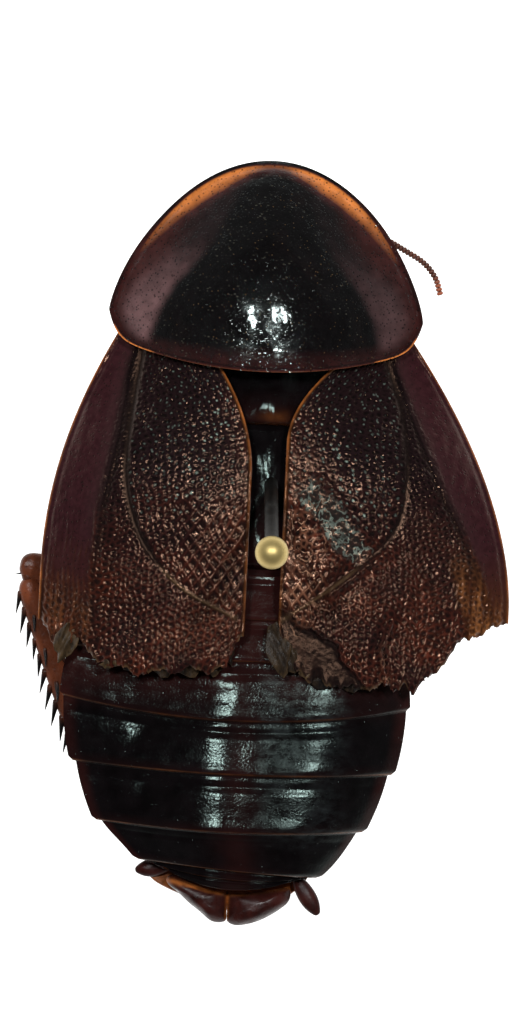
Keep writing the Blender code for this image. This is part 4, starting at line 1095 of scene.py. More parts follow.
SCRAPS = [
    # middle of the scrap, its half sizes, its turn, its height and how pale it is
    ((6.62, 5.02), (0.44, 0.86), -24.0, 1.02, 0.75),
    ((4.90, 5.74), (0.46, 0.24), 14.0, 1.66, 1.0),
    ((4.00, 5.75), (0.60, 0.40), -8.0, 1.52, 0.1),
    ((2.95, 5.82), (0.60, 0.40), 6.0, 1.60, 0.3),
    ((2.05, 5.76), (0.44, 0.52), 0.0, 1.68, 0.40),
    ((1.15, 5.52), (0.42, 0.70), 8.0, 1.70, 0.30),
    ((0.55, 5.05), (0.22, 0.62), 4.0, 1.62, 0.05),
    ((-1.18, 4.92), (0.50, 1.20), 20.0, 2.10, 0.28),
    ((-1.70, 5.25), (0.75, 0.75), 30.0, 1.96, 0.22),
    ((-2.30, 5.80), (0.30, 0.24), -20.0, 1.94, 0.8),
    ((-3.05, 6.00), (0.65, 0.42), 10.0, 1.66, 0.1),
    ((-4.00, 6.10), (0.60, 0.36), -6.0, 1.60, 0.15),
]


def make_scraps():
    """Rags of the thin hind wings that stick out from under the torn wing cases."""
    rags = []
    for k, (middle, half, degrees, level, pale) in enumerate(SCRAPS):
        draw = np.random.default_rng(100 + k)
        turn = np.linspace(0, 2 * math.pi, 15)[:-1]
        reach = draw.uniform(0.65, 1.1, len(turn))
        edge = np.column_stack((half[0] * reach * np.cos(turn), half[1] * reach * np.sin(turn)))
        obj, x, y, _, share, _ = plate("rag", edge, (0.0, 0.0), 70, 14)
        z = 0.07 * ripple(x, y, 0.7, 40 + k) + 0.05 * ripple(x * 2.0, y * 0.5, 1.3, 60 + k)
        z = z - 0.10 * share ** 2
        side, up = math.cos(math.radians(degrees)), math.sin(math.radians(degrees))
        over = x * side - y * up + middle[0]
        drape(obj, over, x * up + y * side + middle[1], z + level)
        paint(obj, pale=unit(pale + 0.5 * rise(share, 0.85, 0.15) * (over < middle[0])))
        close_plate(obj, 0.035)
        rags.append(obj)
    settle(joined("hind_wing_scraps", *rags), "dry skin")


# the thorax and the abdomen


def section(x, y, half_width, top, bottom, edge_top, edge_bottom, power, back_count, belly_count):
    """A body ring, from the right side over the back to the left side and back under the belly."""
    back = -np.cos(np.linspace(0, math.pi, back_count))
    belly = np.cos(np.linspace(0, math.pi, belly_count))
    z_back = edge_top + (top - edge_top) * (1 - np.abs(back) ** power)
    z_belly = edge_bottom + (bottom - edge_bottom) * (1 - np.abs(belly) ** power)
    across = np.concatenate((half_width * back, half_width * 0.97 * belly)) + x
    return np.column_stack((across, np.full(across.shape, float(y)), np.concatenate((z_back, z_belly))))


CHEST_BACK, CHEST_BELLY = 21, 13  # points across the back and the belly of a ring of the thorax


def chest(name, node, stations):
    """A ring of the thorax, from (y, half width, top, bottom, ridge). Its hind edge is thin and amber."""
    rings = []
    for y, half_width, top, bottom, ridge in stations:
        ring = section(midline(y), y, half_width, top, bottom, -0.9, -1.3, 2.2, CHEST_BACK, CHEST_BELLY)
        ring[:CHEST_BACK, 2] += ridge * bell(ring[:CHEST_BACK, 0] + 0.5, 1.1)
        rings.append(ring)
    obj = wrap(name, rings)
    subdivide(obj, 3)
    x, y, z = read(obj)
    front, rear = stations[0][0], stations[-1][0]
    bumpy = bell(x + 0.5, 1.6) * rise(z, 0.1, 0.4)
    z = z + bumpy * (0.060 * ripple(x * 1.6, y, 0.45, 12) + 0.010 * ripple(x * 3.0, y, 1.4, 13))
    drape(obj, x, y, z)
    glow = 0.26 * bell(x + 0.75, 0.5) * bell(y - rear + 0.40, 0.22) if rear < 0 else 0.0
    paint(
        obj, dull=0.12,
        warm=0.75 * smooth((y - mix(front, rear, 0.35)) / (rear - front)) * bell(x + 0.5, 2.2),
        rim=np.maximum(0.85 * bell(y - rear + 0.06, 0.05), glow) * smooth(z / 0.5),
    )
    settle(obj, "body cuticle", node)


def plain_ring(name, stations, edges, levels, warm, *nodes):
    """A ring that hardly shows, from (y, half width, top, bottom) and the heights of its side edges."""
    obj = wrap(name, [section(midline(y), y, *measures, *edges, 2.2, 15, 9) for y, *measures in stations])
    subdivide(obj, levels)
    paint(obj, warm=warm, dull=0.12)
    settle(obj, "body cuticle", *nodes)


def make_thorax():
    plain_ring("neck_ring", [
        (-9.72, 0.7, -0.4, -1.5), (-9.3, 1.7, 0.6, -1.6), (-8.4, 2.7, 1.2, -1.65), (-7.3, 3.0, 1.4, -1.65),
        (-6.5, 2.9, 1.35, -1.65), (-6.1, 2.6, 1.1, -1.6),
    ], (-0.2, -0.7), 2, 0.2, "prothorax")
    chest("middle_ring", "mesothorax", [
        (-5.8, 3.3, 0.15, -1.9, 0.0), (-5.3, 3.7, 0.25, -2.0, 0.35), (-4.6, 3.9, 0.45, -2.0, 0.75),
        (-3.9, 4.0, 0.74, -2.0, 0.62), (-3.5, 4.0, 0.90, -2.0, 0.40), (-3.2, 3.95, 0.98, -2.0, 0.26),
    ])
    chest("hind_ring", "metathorax", [
        (-3.55, 3.8, 0.55, -2.0, 0.1), (-3.0, 3.9, 0.92, -2.0, 0.2), (-2.0, 4.1, 1.18, -2.05, 0.24),
        (-0.8, 4.3, 1.24, -2.05, 0.2), (0.6, 4.4, 1.27, -2.05, 0.15), (1.6, 4.4, 1.28, -2.0, 0.1),
        (2.2, 4.3, 1.26, -1.95, 0.0),
    ])
    plain_ring("inner_skin", [
        (-9.5, 0.9, -0.6, -1.4), (-8.0, 1.9, 0.3, -1.5), (-6.0, 2.5, 0.3, -1.55), (-4.0, 3.0, 0.3, -1.7),
        (0.0, 3.6, 0.7, -1.8), (2.3, 3.9, 0.9, -1.75), (3.2, 3.6, 0.8, -1.6),
    ], (-0.9, -1.2), 1, 0.5)


# y of the hind corners, half width there, half width of the next plate, how far the middle lies behind
PLATES = [
    (3.75, 5.95, 5.85, 0.20), (5.15, 6.30, 6.20, 0.35), (7.04, 6.50, 6.36, 0.68), (9.45, 6.04, 5.78, 0.25),
    (11.62, 5.05, 4.72, 0.22), (13.20, 3.42, 2.95, 0.06), (13.28, 2.85, 2.70, 0.30),
    (13.36, 2.50, None, 0.60),
]
ABDOMEN_BACK, ABDOMEN_BELLY = 141, 81  # points across the back and the belly of a ring
PLATE_SHARES = [
    0.0, 0.03, 0.07, 0.12, 0.17, 0.22, 0.28, 0.36, 0.46, 0.58, 0.7, 0.8, 0.88, 0.93, 0.96, 0.985, 1.0,
]  # where the rings of a plate lie, as shares of its length


def abdomen_rings():
    """Rings of all the plates, each with its share of the way along its plate."""
    rings, shares = [], []
    step = sizes().plate_step / MM
    front, half_width, bow = 2.3, 4.7, 0.0
    for corner, rear_width, next_width, rear_bow in PLATES:
        for share in PLATE_SHARES:
            y = mix(front, corner, share)
            wide = mix(half_width, rear_width, share) + 0.3 * share * (1 - share)
            wide -= 0.12 * rise(share, 0.93, 0.07)
            raised = step * (share - 0.45 * max(0.0, (share - 0.985) / 0.015))
            stops = [2.3, 5.0, 8.0, 10.0, 11.6, 13.2, 14.0]
            top = np.interp(y, stops, [1.2, 1.30, 1.34, 1.36, 1.34, 0.68, 0.38])
            bottom = np.interp(y, [2.3, 5.0, 9.0, 11.8, 13.2, 14.0], [-1.9, -2.1, -2.0, -1.75, -1.4, -1.0])
            ring = section(
                midline(y), y, wide, top + raised, bottom - raised, 0.02 + raised * 0.4, -0.36 - raised * 0.2,
                2.4, ABDOMEN_BACK, ABDOMEN_BELLY,
            )
            across = (ring[:, 0] - midline(y)) / wide
            ring[:, 1] += mix(bow, rear_bow, share) * (1 - across ** 2)
            ring[:, 1] -= 0.06 * rise(y, 11.5, 1.5) * across * wide
            back = np.arange(len(ring)) < ABDOMEN_BACK
            crease = 0.055 * bell(share - 0.2, 0.045) - 0.025 * bell(share - 0.9, 0.035)
            ring[:, 2] -= np.where(back, crease, -crease) * smooth((1 - np.abs(across)) / 0.12)
            rings.append(ring)
            shares.append(share)
        front, half_width, bow = corner + 0.03, next_width, rear_bow
    return rings, shares


def make_abdomen():
    rings, shares = abdomen_rings()
    rings = np.array(rings)
    obj, ring, point = sleeve("abdomen_plates", rings)
    x, y, z = rings[ring, point].T
    share = np.array(shares)[ring]
    back = point < ABDOMEN_BACK
    middle = rings[:, ABDOMEN_BACK // 2, 0]
    half = np.abs(rings[:, :ABDOMEN_BACK, 0] - middle[:, None]).max(axis=1)[ring]
    aside = x - midline(y)
    across = np.abs(aside) / half
    reach = np.linspace(-7.0, 7.0, 561)
    lean = np.interp(
        reach, [-5.2, -4.6, -3.6, -3.0, -1.8, -1.0, -0.3, 0.30, 0.8, 1.6, 3.4, 4.6],
        [0, 0.05, 0.100, 0.125, 0.088, 0.070, 0, 0.10, 0.17, 0.16, 0.06, 0],
    )
    fallen = np.cumsum(lean) * 0.025
    fallen = fallen - np.interp(0.0, reach, fallen)
    fall = np.interp(aside - 0.45 * rise(y, 7.2, 1.2), reach, fallen) * (1 - across ** 4)
    for spot_x, spot_y in ((3.65, 8.2), (3.35, 10.25)):
        fall = fall + 0.075 * bell(np.hypot(x - spot_x, (y - spot_y) * 1.4), 0.55)
    z = z - np.where(back, fall * rise(y, 2.5, 2.0), 0.0)
    waves = 0.014 * ripple(x, y * 1.4, 0.35, 21) + 0.005 * ripple(x * 0.8, y * 2.4, 1.0, 22)
    bowed = y - 0.68 * (1 - across ** 2)
    edge_fold = bell(bowed - 6.42, 0.13) * rise(-aside, 0.4, 0.6) * fade(-aside, 4.0, 0.8)
    waves = waves + 0.045 * edge_fold
    folds = 0.020 * np.sin(bowed * 17.0 + 2.0 * ripple(x, y, 0.3, 27))
    waves = waves + folds * rise(y, 5.9, 0.3) * fade(y, 7.3, 0.3) * (0.3 + 0.7 * (aside > 0))
    z = z + np.where(back, 1.0, -0.6) * waves * smooth((1 - across) / 0.1) * smooth((1 - share) / 0.1)
    drape(obj, x, y, z)
    fine = rise(share, 0.962, 0.02) * np.where(back, 1.0, 0.6)
    wear_and_sheen = 0.45 + 0.45 * ripple(x, y, 0.3, 24)
    side = rise(across, 0.9, 0.08)
    red = 0.5 * bell(aside + 0.3, 0.8) * (0.6 + 0.4 * ripple(x, y, 0.4, 25))
    front_red = 0.85 * fade(y, 5.2, 2.6)
    # painted sheen: the bluish haze on the right flank, where the lamps' reflection would spread
    hazy_sheen = rise(-aside, 0.7, 0.8) * fade(-aside, 3.6, 1.0)
    hazy_sheen = hazy_sheen * rise(y, 5.4, 1.0) * fade(y, 11.6, 1.0) * (0.75 + 0.35 * ripple(x, y, 0.35, 26))
    flat = rise(-aside, 0.7, 0.6) * fade(-aside, 5.0, 0.5) * rise(y, 5.0, 0.6)
    warm = np.maximum(red, front_red) + 0.6 * side + 0.2 * rise(share, 0.8, 0.2)
    paint(
        obj, haze=unit(np.where(back, hazy_sheen, 0.0)), dull=unit(0.08 * ripple(x, y, 0.7, 28) + flat),
        rim=unit(fine * wear_and_sheen * mix(0.30, 0.8, side)), warm=unit(warm),
    )
    weld(obj)
    settle(obj, "body cuticle", "abdomen")


# the tail end

TAIL_LOBES = {
    "left": [
        (0.24, 14.05), (0.23, 14.66), (0.23, 15.03), (0.40, 15.13), (0.62, 15.14), (0.84, 15.07),
        (1.18, 14.82), (1.62, 14.54), (2.10, 14.16), (2.46, 13.88), (2.48, 13.62), (2.10, 13.56),
        (1.50, 13.70), (0.85, 13.92),
    ],
    "right": [
        (0.20, 14.05), (-0.60, 14.02), (-1.40, 13.92), (-1.98, 13.84), (-2.12, 14.02), (-2.05, 14.34),
        (-1.75, 14.60), (-1.35, 14.84), (-0.95, 15.03), (-0.53, 15.17), (-0.14, 15.22), (0.12, 15.14),
        (0.21, 15.00), (0.21, 14.60),
    ],
}
UNDER_PLATE = [
    (-2.4, 13.2), (-2.6, 13.60), (-1.6, 14.35), (0.2, 14.75), (2.0, 14.22), (3.12, 13.66), (2.9, 13.2),
    (0.2, 12.7),
]
CERCI = {
    "left": ((2.30, 13.20, -1.05), (3.70, 13.46, -1.0)),
    "right": ((-2.22, 13.35, -0.72), (-3.18, 14.80, -0.65)),
}


def closed_curve(stops, steps):
    """A smooth closed line through the stops."""
    stops = np.asarray(stops, float)
    over = 3  # stops that are gone through again past either end
    path = curve_through(np.vstack((stops[-over:], stops, stops[:over])), steps)
    return path[over * steps:(over + len(stops)) * steps]


def make_tail():
    """The plate over the tail end, of two convex lobes, with the plate under it and the two tail feelers."""
    lobes = []
    for name, stops in TAIL_LOBES.items():
        outline = closed_curve(stops, 6)
        outline[:, 1] += 0.09 * smooth((outline[:, 1] - 14.2) / 0.9)
        centre = outline.mean(axis=0)
        obj, x, y, _, share, _ = plate("lobe", outline, centre, 120, 26, 1.6)
        z = -0.42 + 0.55 * (1 - share ** 3.0) ** 0.8 + 0.012 * ripple(x, y, 1.0, 51)
        drape(obj, x, y, z)
        seam = bell(x - 0.22, 0.06) + bell(y - 14.12 + 0.16 * np.abs(x - 0.2), 0.10)
        paint(obj, rim=unit(0.8 * seam * (share > 0.5)))
        close_plate(obj, 0.30)
        lobes.append(obj)
    settle(joined("tail_lobes", *lobes), "tail cuticle", "supra_anal_plate")
    outline = closed_curve(UNDER_PLATE, 8)
    obj, x, y, _, share, _ = plate("under_plate", outline, (0.2, 13.6), 120, 24)
    drape(obj, x, y, -1.12 - 0.30 * (1 - share ** 2) + 0.01 * ripple(x, y, 0.8, 52))
    paint(obj, rim=0.35 + 0.3 * rise(share, 0.6, 0.4))
    close_plate(obj, 0.14)
    settle(obj, "tail cuticle")
    for name, (start, end) in CERCI.items():
        obj = straight("tail_feeler_" + name, start, end, [
            (0.0, 0.18, 0.16), (0.22, 0.30, 0.22), (0.5, 0.37, 0.25), (0.78, 0.33, 0.21), (1.0, 0.17, 0.12),
        ])
        obj = joined(obj.name, obj)
        settle(obj, "tail cuticle", "cercus_" + name)


# the head

SIDES = ((1, "left"), (-1, "right"))
HEAD_TOP = Vector((-0.2, -11.6, -0.85))
HEAD_MOUTH = Vector((-0.2, -9.95, -3.85))
HEAD_DOWN = toward(HEAD_TOP, HEAD_MOUTH)
HEAD_SIDE = Vector((1, 0, 0))
HEAD_OUT = HEAD_DOWN.cross(HEAD_SIDE)


def on_head(share, aside, out):
    """A point by its share of the way down the face, its distance aside and how far out of the face."""
    return HEAD_TOP.lerp(HEAD_MOUTH, share) + HEAD_SIDE * aside + HEAD_OUT * out


def make_head():
    """The skull with its upper lip, jaws, lip feelers, two pale spots and the rings that hold the feelers."""
    parts = []

    def add(name, warm, start, end, sizes, flat=HEAD_OUT, rim=0.0, **shape):
        parts.append(straight(name, on_head(*start), on_head(*end), sizes, flat, **shape))
        paint(parts[-1], warm=warm, rim=rim)

    add("skull", 0.15, (-0.05, 0, 0), (1.03, 0, 0), [
        (0.03, 0.70, 0.50), (0.12, 1.10, 0.74), (0.27, 1.32, 0.90), (0.45, 1.36, 0.94), (0.62, 1.18, 0.86),
        (0.76, 0.98, 0.74), (0.88, 0.82, 0.56), (1.0, 0.60, 0.36),
    ], sides=16)
    for side, _ in SIDES:
        add("jaw", 0.3, (0.84, side * 0.66, 0.1), (1.07, side * 0.16, 0.16), [
            (0.0, 0.30, 0.24), (0.4, 0.36, 0.30), (0.8, 0.24, 0.2), (1.0, 0.1),
        ])
        add("lip_feeler", 0.9, (0.92, side * 0.3, -0.2), (1.22, side * 0.66, 0.05), [
            (0.0, 0.12), (0.45, 0.15), (0.5, 0.11), (0.8, 0.15), (1.0, 0.09),
        ])
        add("pale_spot", 0.4, (0.22, side * 0.72, 0.74), (0.22, side * 0.76, 0.98), [
            (0.0, 0.16), (1.0, 0.12),
        ], HEAD_DOWN, 0.75, ends=0.03)
        add("socket", 0.9, (0.42, side * 0.80, 0.55), (0.42, side * 0.92, 1.05), [
            (0.0, 0.36), (0.6, 0.33), (1.0, 0.25),
        ], HEAD_DOWN, sides=16, ends=0.05)
    add("face_plate", 0.9, (0.56, 0, 0.62), (0.86, 0, 0.42), [
        (0.0, 0.42, 0.2), (0.5, 0.62, 0.24), (1.0, 0.52, 0.18),
    ])
    add("upper_lip", 0.9, (0.84, 0, 0.40), (1.09, 0, 0.36), [
        (0.0, 0.46, 0.14), (0.5, 0.46, 0.16), (1.0, 0.28, 0.10),
    ])
    settle(joined("head_capsule", *parts), "body cuticle", "head")
    turn = Matrix((HEAD_SIDE, HEAD_OUT, HEAD_DOWN)).transposed().to_4x4()
    for side, name in SIDES:
        eye = globe(48, 28, 1.0, (0.29, 0.52, 0.80))
        x, y, z = read(eye)
        drape(eye, x - side * 0.10 * z ** 2, y - 0.12 * z, z)
        eye.matrix_world = Matrix.Translation(on_head(0.3, side * 1.62, 0.12)) @ turn
        settle(joined(f"eye_{name}_globe", eye), "eye facets", "eye_" + name)


FEELERS = {
    "left": [
        (0.62, -12.15, -2.55), (1.70, -12.10, -2.45), (2.75, -11.45, -2.1), (3.55, -10.4, -1.75),
        (3.95, -9.3, -1.55), (4.10, -8.2, -1.45), (4.05, -7.2, -1.4),
    ],
    "right": [
        (-1.05, -12.15, -2.55), (-2.10, -12.05, -2.4), (-3.25, -11.35, -1.9), (-4.30, -10.55, -1.45),
        (-5.10, -10.10, -1.2), (-5.94, -9.61, -1.1), (-6.42, -9.05, -1.05), (-6.66, -8.36, -1.05),
    ],
}


def make_feelers():
    """Beaded feelers: one bead, copied along a curve."""
    size = sizes()
    pitch, thick = size.bead_pitch / MM, size.bead_radius / MM
    for name, stops in FEELERS.items():
        path = curve_through(stops, 10)
        whole = float(np.linalg.norm(np.diff(path, axis=0), axis=1).sum())
        shape = ((0.0, 0.62), (0.16, 0.95), (0.55, 1.04), (0.88, 0.90), (1.04, 0.58))
        bead = grow("feeler_" + name, [(pitch * along, thick * wide) for along, wide in shape], 10, 1)
        _, _, z = read(bead)
        paint(bead, seam=1 - smooth(np.minimum(z, pitch * 1.04 - z) / (pitch * 0.22)))
        count = int(whole / pitch)
        modify(bead, "ARRAY", count=count, use_relative_offset=False, use_constant_offset=True,
               constant_offset_displace=(0.0, 0.0, pitch))
        x, y, z = read(bead)
        share = z / whole
        size_of = mix(1.15, 0.80, smooth(share * 1.3)) * mix(1.35, 1.0, smooth(share / 0.06))
        drape(bead, x * size_of, y * size_of, z)
        paint(bead, tip=rise(share, 0.88, 0.10))
        deselect()
        bpy.ops.curve.primitive_nurbs_path_add()
        way = bpy.context.object
        way.data.splines.clear()
        line = way.data.splines.new("POLY")
        line.points.add(len(path) - 1)
        line.points.foreach_set("co", np.column_stack((path, np.ones(len(path)))).ravel())
        way.data.twist_mode = "MINIMUM"
        modify(bead, "CURVE", object=way, deform_axis="POS_Z")
        bpy.data.objects.remove(way)
        settle(bead, "feeler beads", "antenna_" + name)


def scaled(wide, shape):
    """Sizes of a limb from its shape, which gives them as shares of one width."""
    return [(size[0], wide * size[1], wide * size[-1]) for size in shape]


PALP = [
    (1.0, -9.75, -3.55), (1.45, -9.95, -4.0), (1.75, -10.45, -4.17), (1.87, -11.1, -4.05),
    (1.6, -11.95, -3.7),
]


def make_palps():
    """Jaw feelers of four joints."""
    shape = ((0.0, 0.7), (0.5, 0.95, 0.9), (0.9, 1.1, 1.05), (1.0, 0.8))
    for side, name in SIDES:
        stops = [Vector((SHIELD_MIDLINE + side * x, y, z)) for x, y, z in PALP]
        joints = []
        for wide, start, end in zip((0.17, 0.19, 0.20, 0.23), stops, stops[1:]):
            joint = straight("joint", start, end, scaled(wide, shape), ends=0.03)
            _, _, z = read(joint)
            paint(joint, dark=0.45 * bell(z, 0.1))
            joints.append(joint)
        settle(joined("jaw_feeler_" + name, *joints), "leg cuticle", "palp_" + name)


# the legs: each joint is (distance from the midline, y, height)

FORE = {
    "hip": (2.3, -9.0, -2.0), "coxa_end": (1.0, -6.5, -2.35), "thigh": (1.72, -5.9, -2.5),
    "knee": (4.75, -8.75, -2.6), "ankle": (4.8, -5.4, -2.5), "toe": (4.6, -3.2, -2.75), "bow": 0.1,
    "coxa_wide": 0.85, "femur_wide": 0.46, "tibia_wide": 0.34, "thorns": 5,
}
MIDDLE = {
    "hip": (3.1, -5.2, -2.35), "coxa_end": (1.62, -2.65, -2.75), "thigh": (1.95, -1.95, -2.8),
    "knee": (6.35, -2.35, -2.25), "ankle": (4.75, 2.7, -3.85), "toe": (3.9, 5.6, -4.1), "bow": 0.15,
    "coxa_wide": 1.05, "femur_wide": 0.50, "tibia_wide": 0.36, "thorns": 7,
}
HIND_LEFT = {
    "hip": (3.1, -0.75, -2.43), "coxa_end": (1.35, 2.75, -2.88), "thigh": (1.75, 3.45, -3.0),
    "knee": (8.32, 2.3, -1.4), "ankle": (5.25, 9.6, -2.6), "toe": (3.3, 12.1, -2.9), "bow": 0.12,
    "coxa_wide": 1.25, "femur_wide": 0.64, "tibia_wide": 0.46, "thorns": 10,
}
HIND_RIGHT = dict(HIND_LEFT, knee=(7.75, 2.4, -1.6), ankle=(3.3, 8.7, -3.1), toe=(1.9, 11.3, -3.3))
LEGS = {
    "fore_left": (1, FORE), "fore_right": (-1, FORE), "mid_left": (1, MIDDLE), "mid_right": (-1, MIDDLE),
    "hind_left": (1, HIND_LEFT), "hind_right": (-1, HIND_RIGHT),
}
GAP = 0.02  # between the pieces of a leg, in millimetres


def past_joint(end, way, next_way, half_width):
    """Where the next piece of a leg starts, so that it clears the one that ends at the joint."""
    along = way.dot(next_way)
    if along > 0.5:
        return end + next_way * (GAP + half_width * 0.8 * math.sqrt(1 - along * along))
    aside = (next_way - way * along).normalized()
    return end - way * (half_width * 0.75) + aside * (half_width * 0.9 + GAP)


def leg_points(name):
    """The joints of a leg, and where its shin and its foot start."""
    side, leg = LEGS[name]
    hip, coxa_end, thigh, knee, ankle, toe = (
        Vector((float(midline(leg[key][1])) + side * leg[key][0], leg[key][1], leg[key][2]))
        for key in ("hip", "coxa_end", "thigh", "knee", "ankle", "toe")
    )
    shin = past_joint(knee, toward(thigh, knee), toward(knee, ankle), leg["femur_wide"] * 0.75)
    foot = past_joint(ankle, toward(shin, ankle), toward(ankle, toe), leg["tibia_wide"] * 0.8)
    return hip, coxa_end, thigh, knee, shin, ankle, foot, toe


def make_thorn():
    """One thorn of length 1, slightly bent, to be copied along the shins."""
    thorn = grow("thorn", [
        (0.0, 0.155), (0.12, 0.150), (0.35, 0.110, 0.110, 0.012), (0.62, 0.070, 0.070, 0.035),
        (0.85, 0.035, 0.035, 0.07), (1.0, 0.008, 0.008, 0.10),
    ], 6, 1)
    _, _, z = read(thorn)
    paint(thorn, dark=0.55 + 0.45 * smooth(z / 0.4))
    return thorn


def planted(thorn, root, way, long, facing):
    """A copy of the thorn, set with its root at a point."""
    twin = thorn.copy()
    twin.data = thorn.data.copy()
    bpy.context.scene.collection.objects.link(twin)
    aim(twin, root, root + way, facing)
    twin.matrix_world = twin.matrix_world @ Matrix.Diagonal((long, long, long, 1.0))
    return twin


def make_femur(leg, thigh, knee, shin, thorn):
    wide = leg["femur_wide"]
    femur = straight("thigh", thigh, knee, [
        (0.0, 0.24, 0.26), (0.08, wide * 0.72, 0.32), (0.22, wide * 0.95, 0.38), (0.4, wide, 0.40),
        (0.7, wide * 0.94, 0.37), (0.88, wide * 0.90, 0.34), (0.96, wide * 0.86, 0.31),
        (1.0, wide * 0.62, 0.26),
    ], sides=14)
    _, _, z = read(femur)
    long = (knee - thigh).length
    paint(femur, dark=0.35 * smooth((z / long - 0.85) / 0.15) + 0.25 * smooth((0.15 - z / long) / 0.15))
    way = toward(thigh, knee)
    inward = shin - knee
    inward = (inward - way * inward.dot(way)).normalized()
    parts = [femur]
    for share in (0.38, 0.52, 0.66, 0.80):
        root = thigh.lerp(knee, share) + inward * wide * 0.72 - UP * 0.15
        parts.append(planted(thorn, root, inward * 0.55 + way * 0.4 - UP * 0.35, 0.55, inward))
    parts.append(planted(thorn, knee - way * 0.25 + inward * wide * 0.45, inward * 0.35 + way, 0.40, inward))
    return parts


def make_tibia(name, leg, side, shin, ankle, thorn):
    """The shin, slightly bowed, with rows of thorns that lean towards the foot."""
    wide, bow = leg["tibia_wide"], leg["bow"]
    way = toward(shin, ankle)
    up = (UP - way * way.z).normalized()
    out = up.cross(way).normalized()
    outward = 1 if out.x * side > 0 else -1
    out = out * outward
    long = (ankle - shin).length
    stations = [(0.0, wide * 0.4, 0.18)]
    for share, w, t in (
        (0.02, 0.75, 0.28), (0.06, 1.02, 0.36), (0.14, 0.98, 0.34), (0.3, 0.92, 0.30), (0.5, 0.96, 0.30),
        (0.7, 1.0, 0.30), (0.88, 1.04, 0.31), (0.96, 1.0, 0.30), (0.99, 0.8, 0.26),
    ):
        stations.append((share * long, w * wide, t, bow * outward * 4 * share * (1 - share)))
    stations.append((long, wide * 0.4, 0.15))
    shin_body = grow("shin", stations, 14, 2)
    paint(shin_body, dark=0.18)
    aim(shin_body, shin, ankle)
    parts = [shin_body]
    draw = random.Random(name)
    count = leg["thorns"]
    rows = (  # which way a row faces, its thorns, where it starts and ends, and its thorns' size
        (out + up * 0.15, count, 0.05, 0.80, 1.0), (out * 0.45 - up, count - 2, 0.20, 0.92, 0.85),
        (up * 0.2 - out, count // 2, 0.25, 0.97, 0.85), (out * 0.5 + up, count // 2, 0.18, 0.9, 0.8),
    )
    thorn_long = sizes().thorn_length / MM
    for facing, number, first, last, size in rows:
        facing = facing.normalized()
        flat = abs(facing.dot(up))
        for k in range(number):
            share = mix(first, last, k / (number - 1))
            centre = shin.lerp(ankle, share) + out * bow * 4 * share * (1 - share)
            root = centre + facing * (mix(wide, 0.30, flat) - 0.10)
            lean = way + facing * draw.uniform(0.42, 0.62)
            reach = thorn_long * draw.uniform(0.88, 1.12) * size * min(1.0, wide / 0.4) + 0.1
            parts.append(planted(thorn, root, lean, reach, way))
    return parts


def make_tarsus(foot, toe, thorn):
    """Five foot joints, two claws and the pad between them."""
    shares = (0.0, 0.40, 0.56, 0.69, 0.80, 1.0)
    shape = ((0.0, 0.65), (0.3, 0.85), (0.8, 1.15, 1.05), (1.0, 0.85, 0.8))
    parts = []
    for wide, a, b in zip((0.20, 0.19, 0.19, 0.20, 0.17), shares, shares[1:]):
        start, end = foot.lerp(toe, a), foot.lerp(toe, b + 0.01)
        joint = straight("foot_joint", start, end, scaled(wide, shape), sides=10, levels=1, ends=0.04)
        paint(joint, dark=0.15)
        parts.append(joint)
    way = toward(foot, toe)
    across = way.cross(UP).normalized()
    for turn in (1, -1):
        root = toe - way * 0.1 + across * turn * 0.07
        parts.append(planted(thorn, root, way + across * turn * 0.5 - UP * 0.2, 0.55, -UP))
    sizes_of = [(0.0, 0.1, 0.09), (1.0, 0.11, 0.09)]
    pad = straight("pad", toe - way * 0.08, toe + way * 0.2, sizes_of, sides=8, levels=1, ends=0.04)
    return parts + [pad]


def make_leg(name, thorn):
    side, leg = LEGS[name]
    hip, coxa_end, thigh, knee, shin, ankle, foot, toe = leg_points(name)
    wide = leg["coxa_wide"]
    coxa = straight("hip_piece", hip, coxa_end, [
        (0.0, wide * 0.5, 0.26), (0.06, wide * 0.72, 0.36), (0.16, wide * 0.92, 0.42), (0.4, wide, 0.46),
        (0.7, wide * 0.76, 0.42), (0.9, wide * 0.46, 0.35), (1.0, wide * 0.28, 0.27),
    ], sides=14)
    _, _, z = read(coxa)
    paint(coxa, dark=0.30 * rise(z, 0.5, 2.0))
    thigh_way, shin_way, foot_way = toward(thigh, knee), toward(shin, ankle), toward(foot, toe)
    root = straight("thigh_root", coxa_end - toward(hip, coxa_end) * 0.1, thigh + thigh_way * 0.35, [
        (0.0, 0.24, 0.22), (0.35, 0.27, 0.25), (0.7, 0.27, 0.26), (1.0, 0.2),
    ], sides=10)
    paint(root, dark=0.45)
    pieces = {"coxa": [coxa, root], "femur": make_femur(leg, thigh, knee, shin, thorn)}
    start, end = knee - thigh_way * 0.2, shin + shin_way * 0.25
    knee_cap = straight("knee_cap", start, end, [(0.0, 0.2), (0.5, 0.24), (1.0, 0.2)], sides=10)
    paint(knee_cap, dark=0.6)
    pieces["tibia"] = make_tibia(name, leg, side, shin, ankle, thorn) + [knee_cap]
    start, end = ankle - shin_way * 0.2, foot + foot_way * 0.15
    ankle_skin = straight("ankle_skin", start, end, [(0.0, 0.13), (1.0, 0.12)], sides=8, levels=1)
    paint(ankle_skin, dark=0.5)
    pieces["tarsus"] = make_tarsus(foot, toe, thorn) + [ankle_skin]
    words = {"coxa": "hip", "femur": "thigh", "tibia": "shin", "tarsus": "foot"}
    for node, parts in pieces.items():
        settle(joined(f"{words[node]}_{name}", *parts), "leg cuticle", f"{node}_{name}")


def make_legs():
    thorn = make_thorn()
    for name in LEGS:
        make_leg(name, thorn)
    bpy.data.objects.remove(thorn)


# the pin and the block

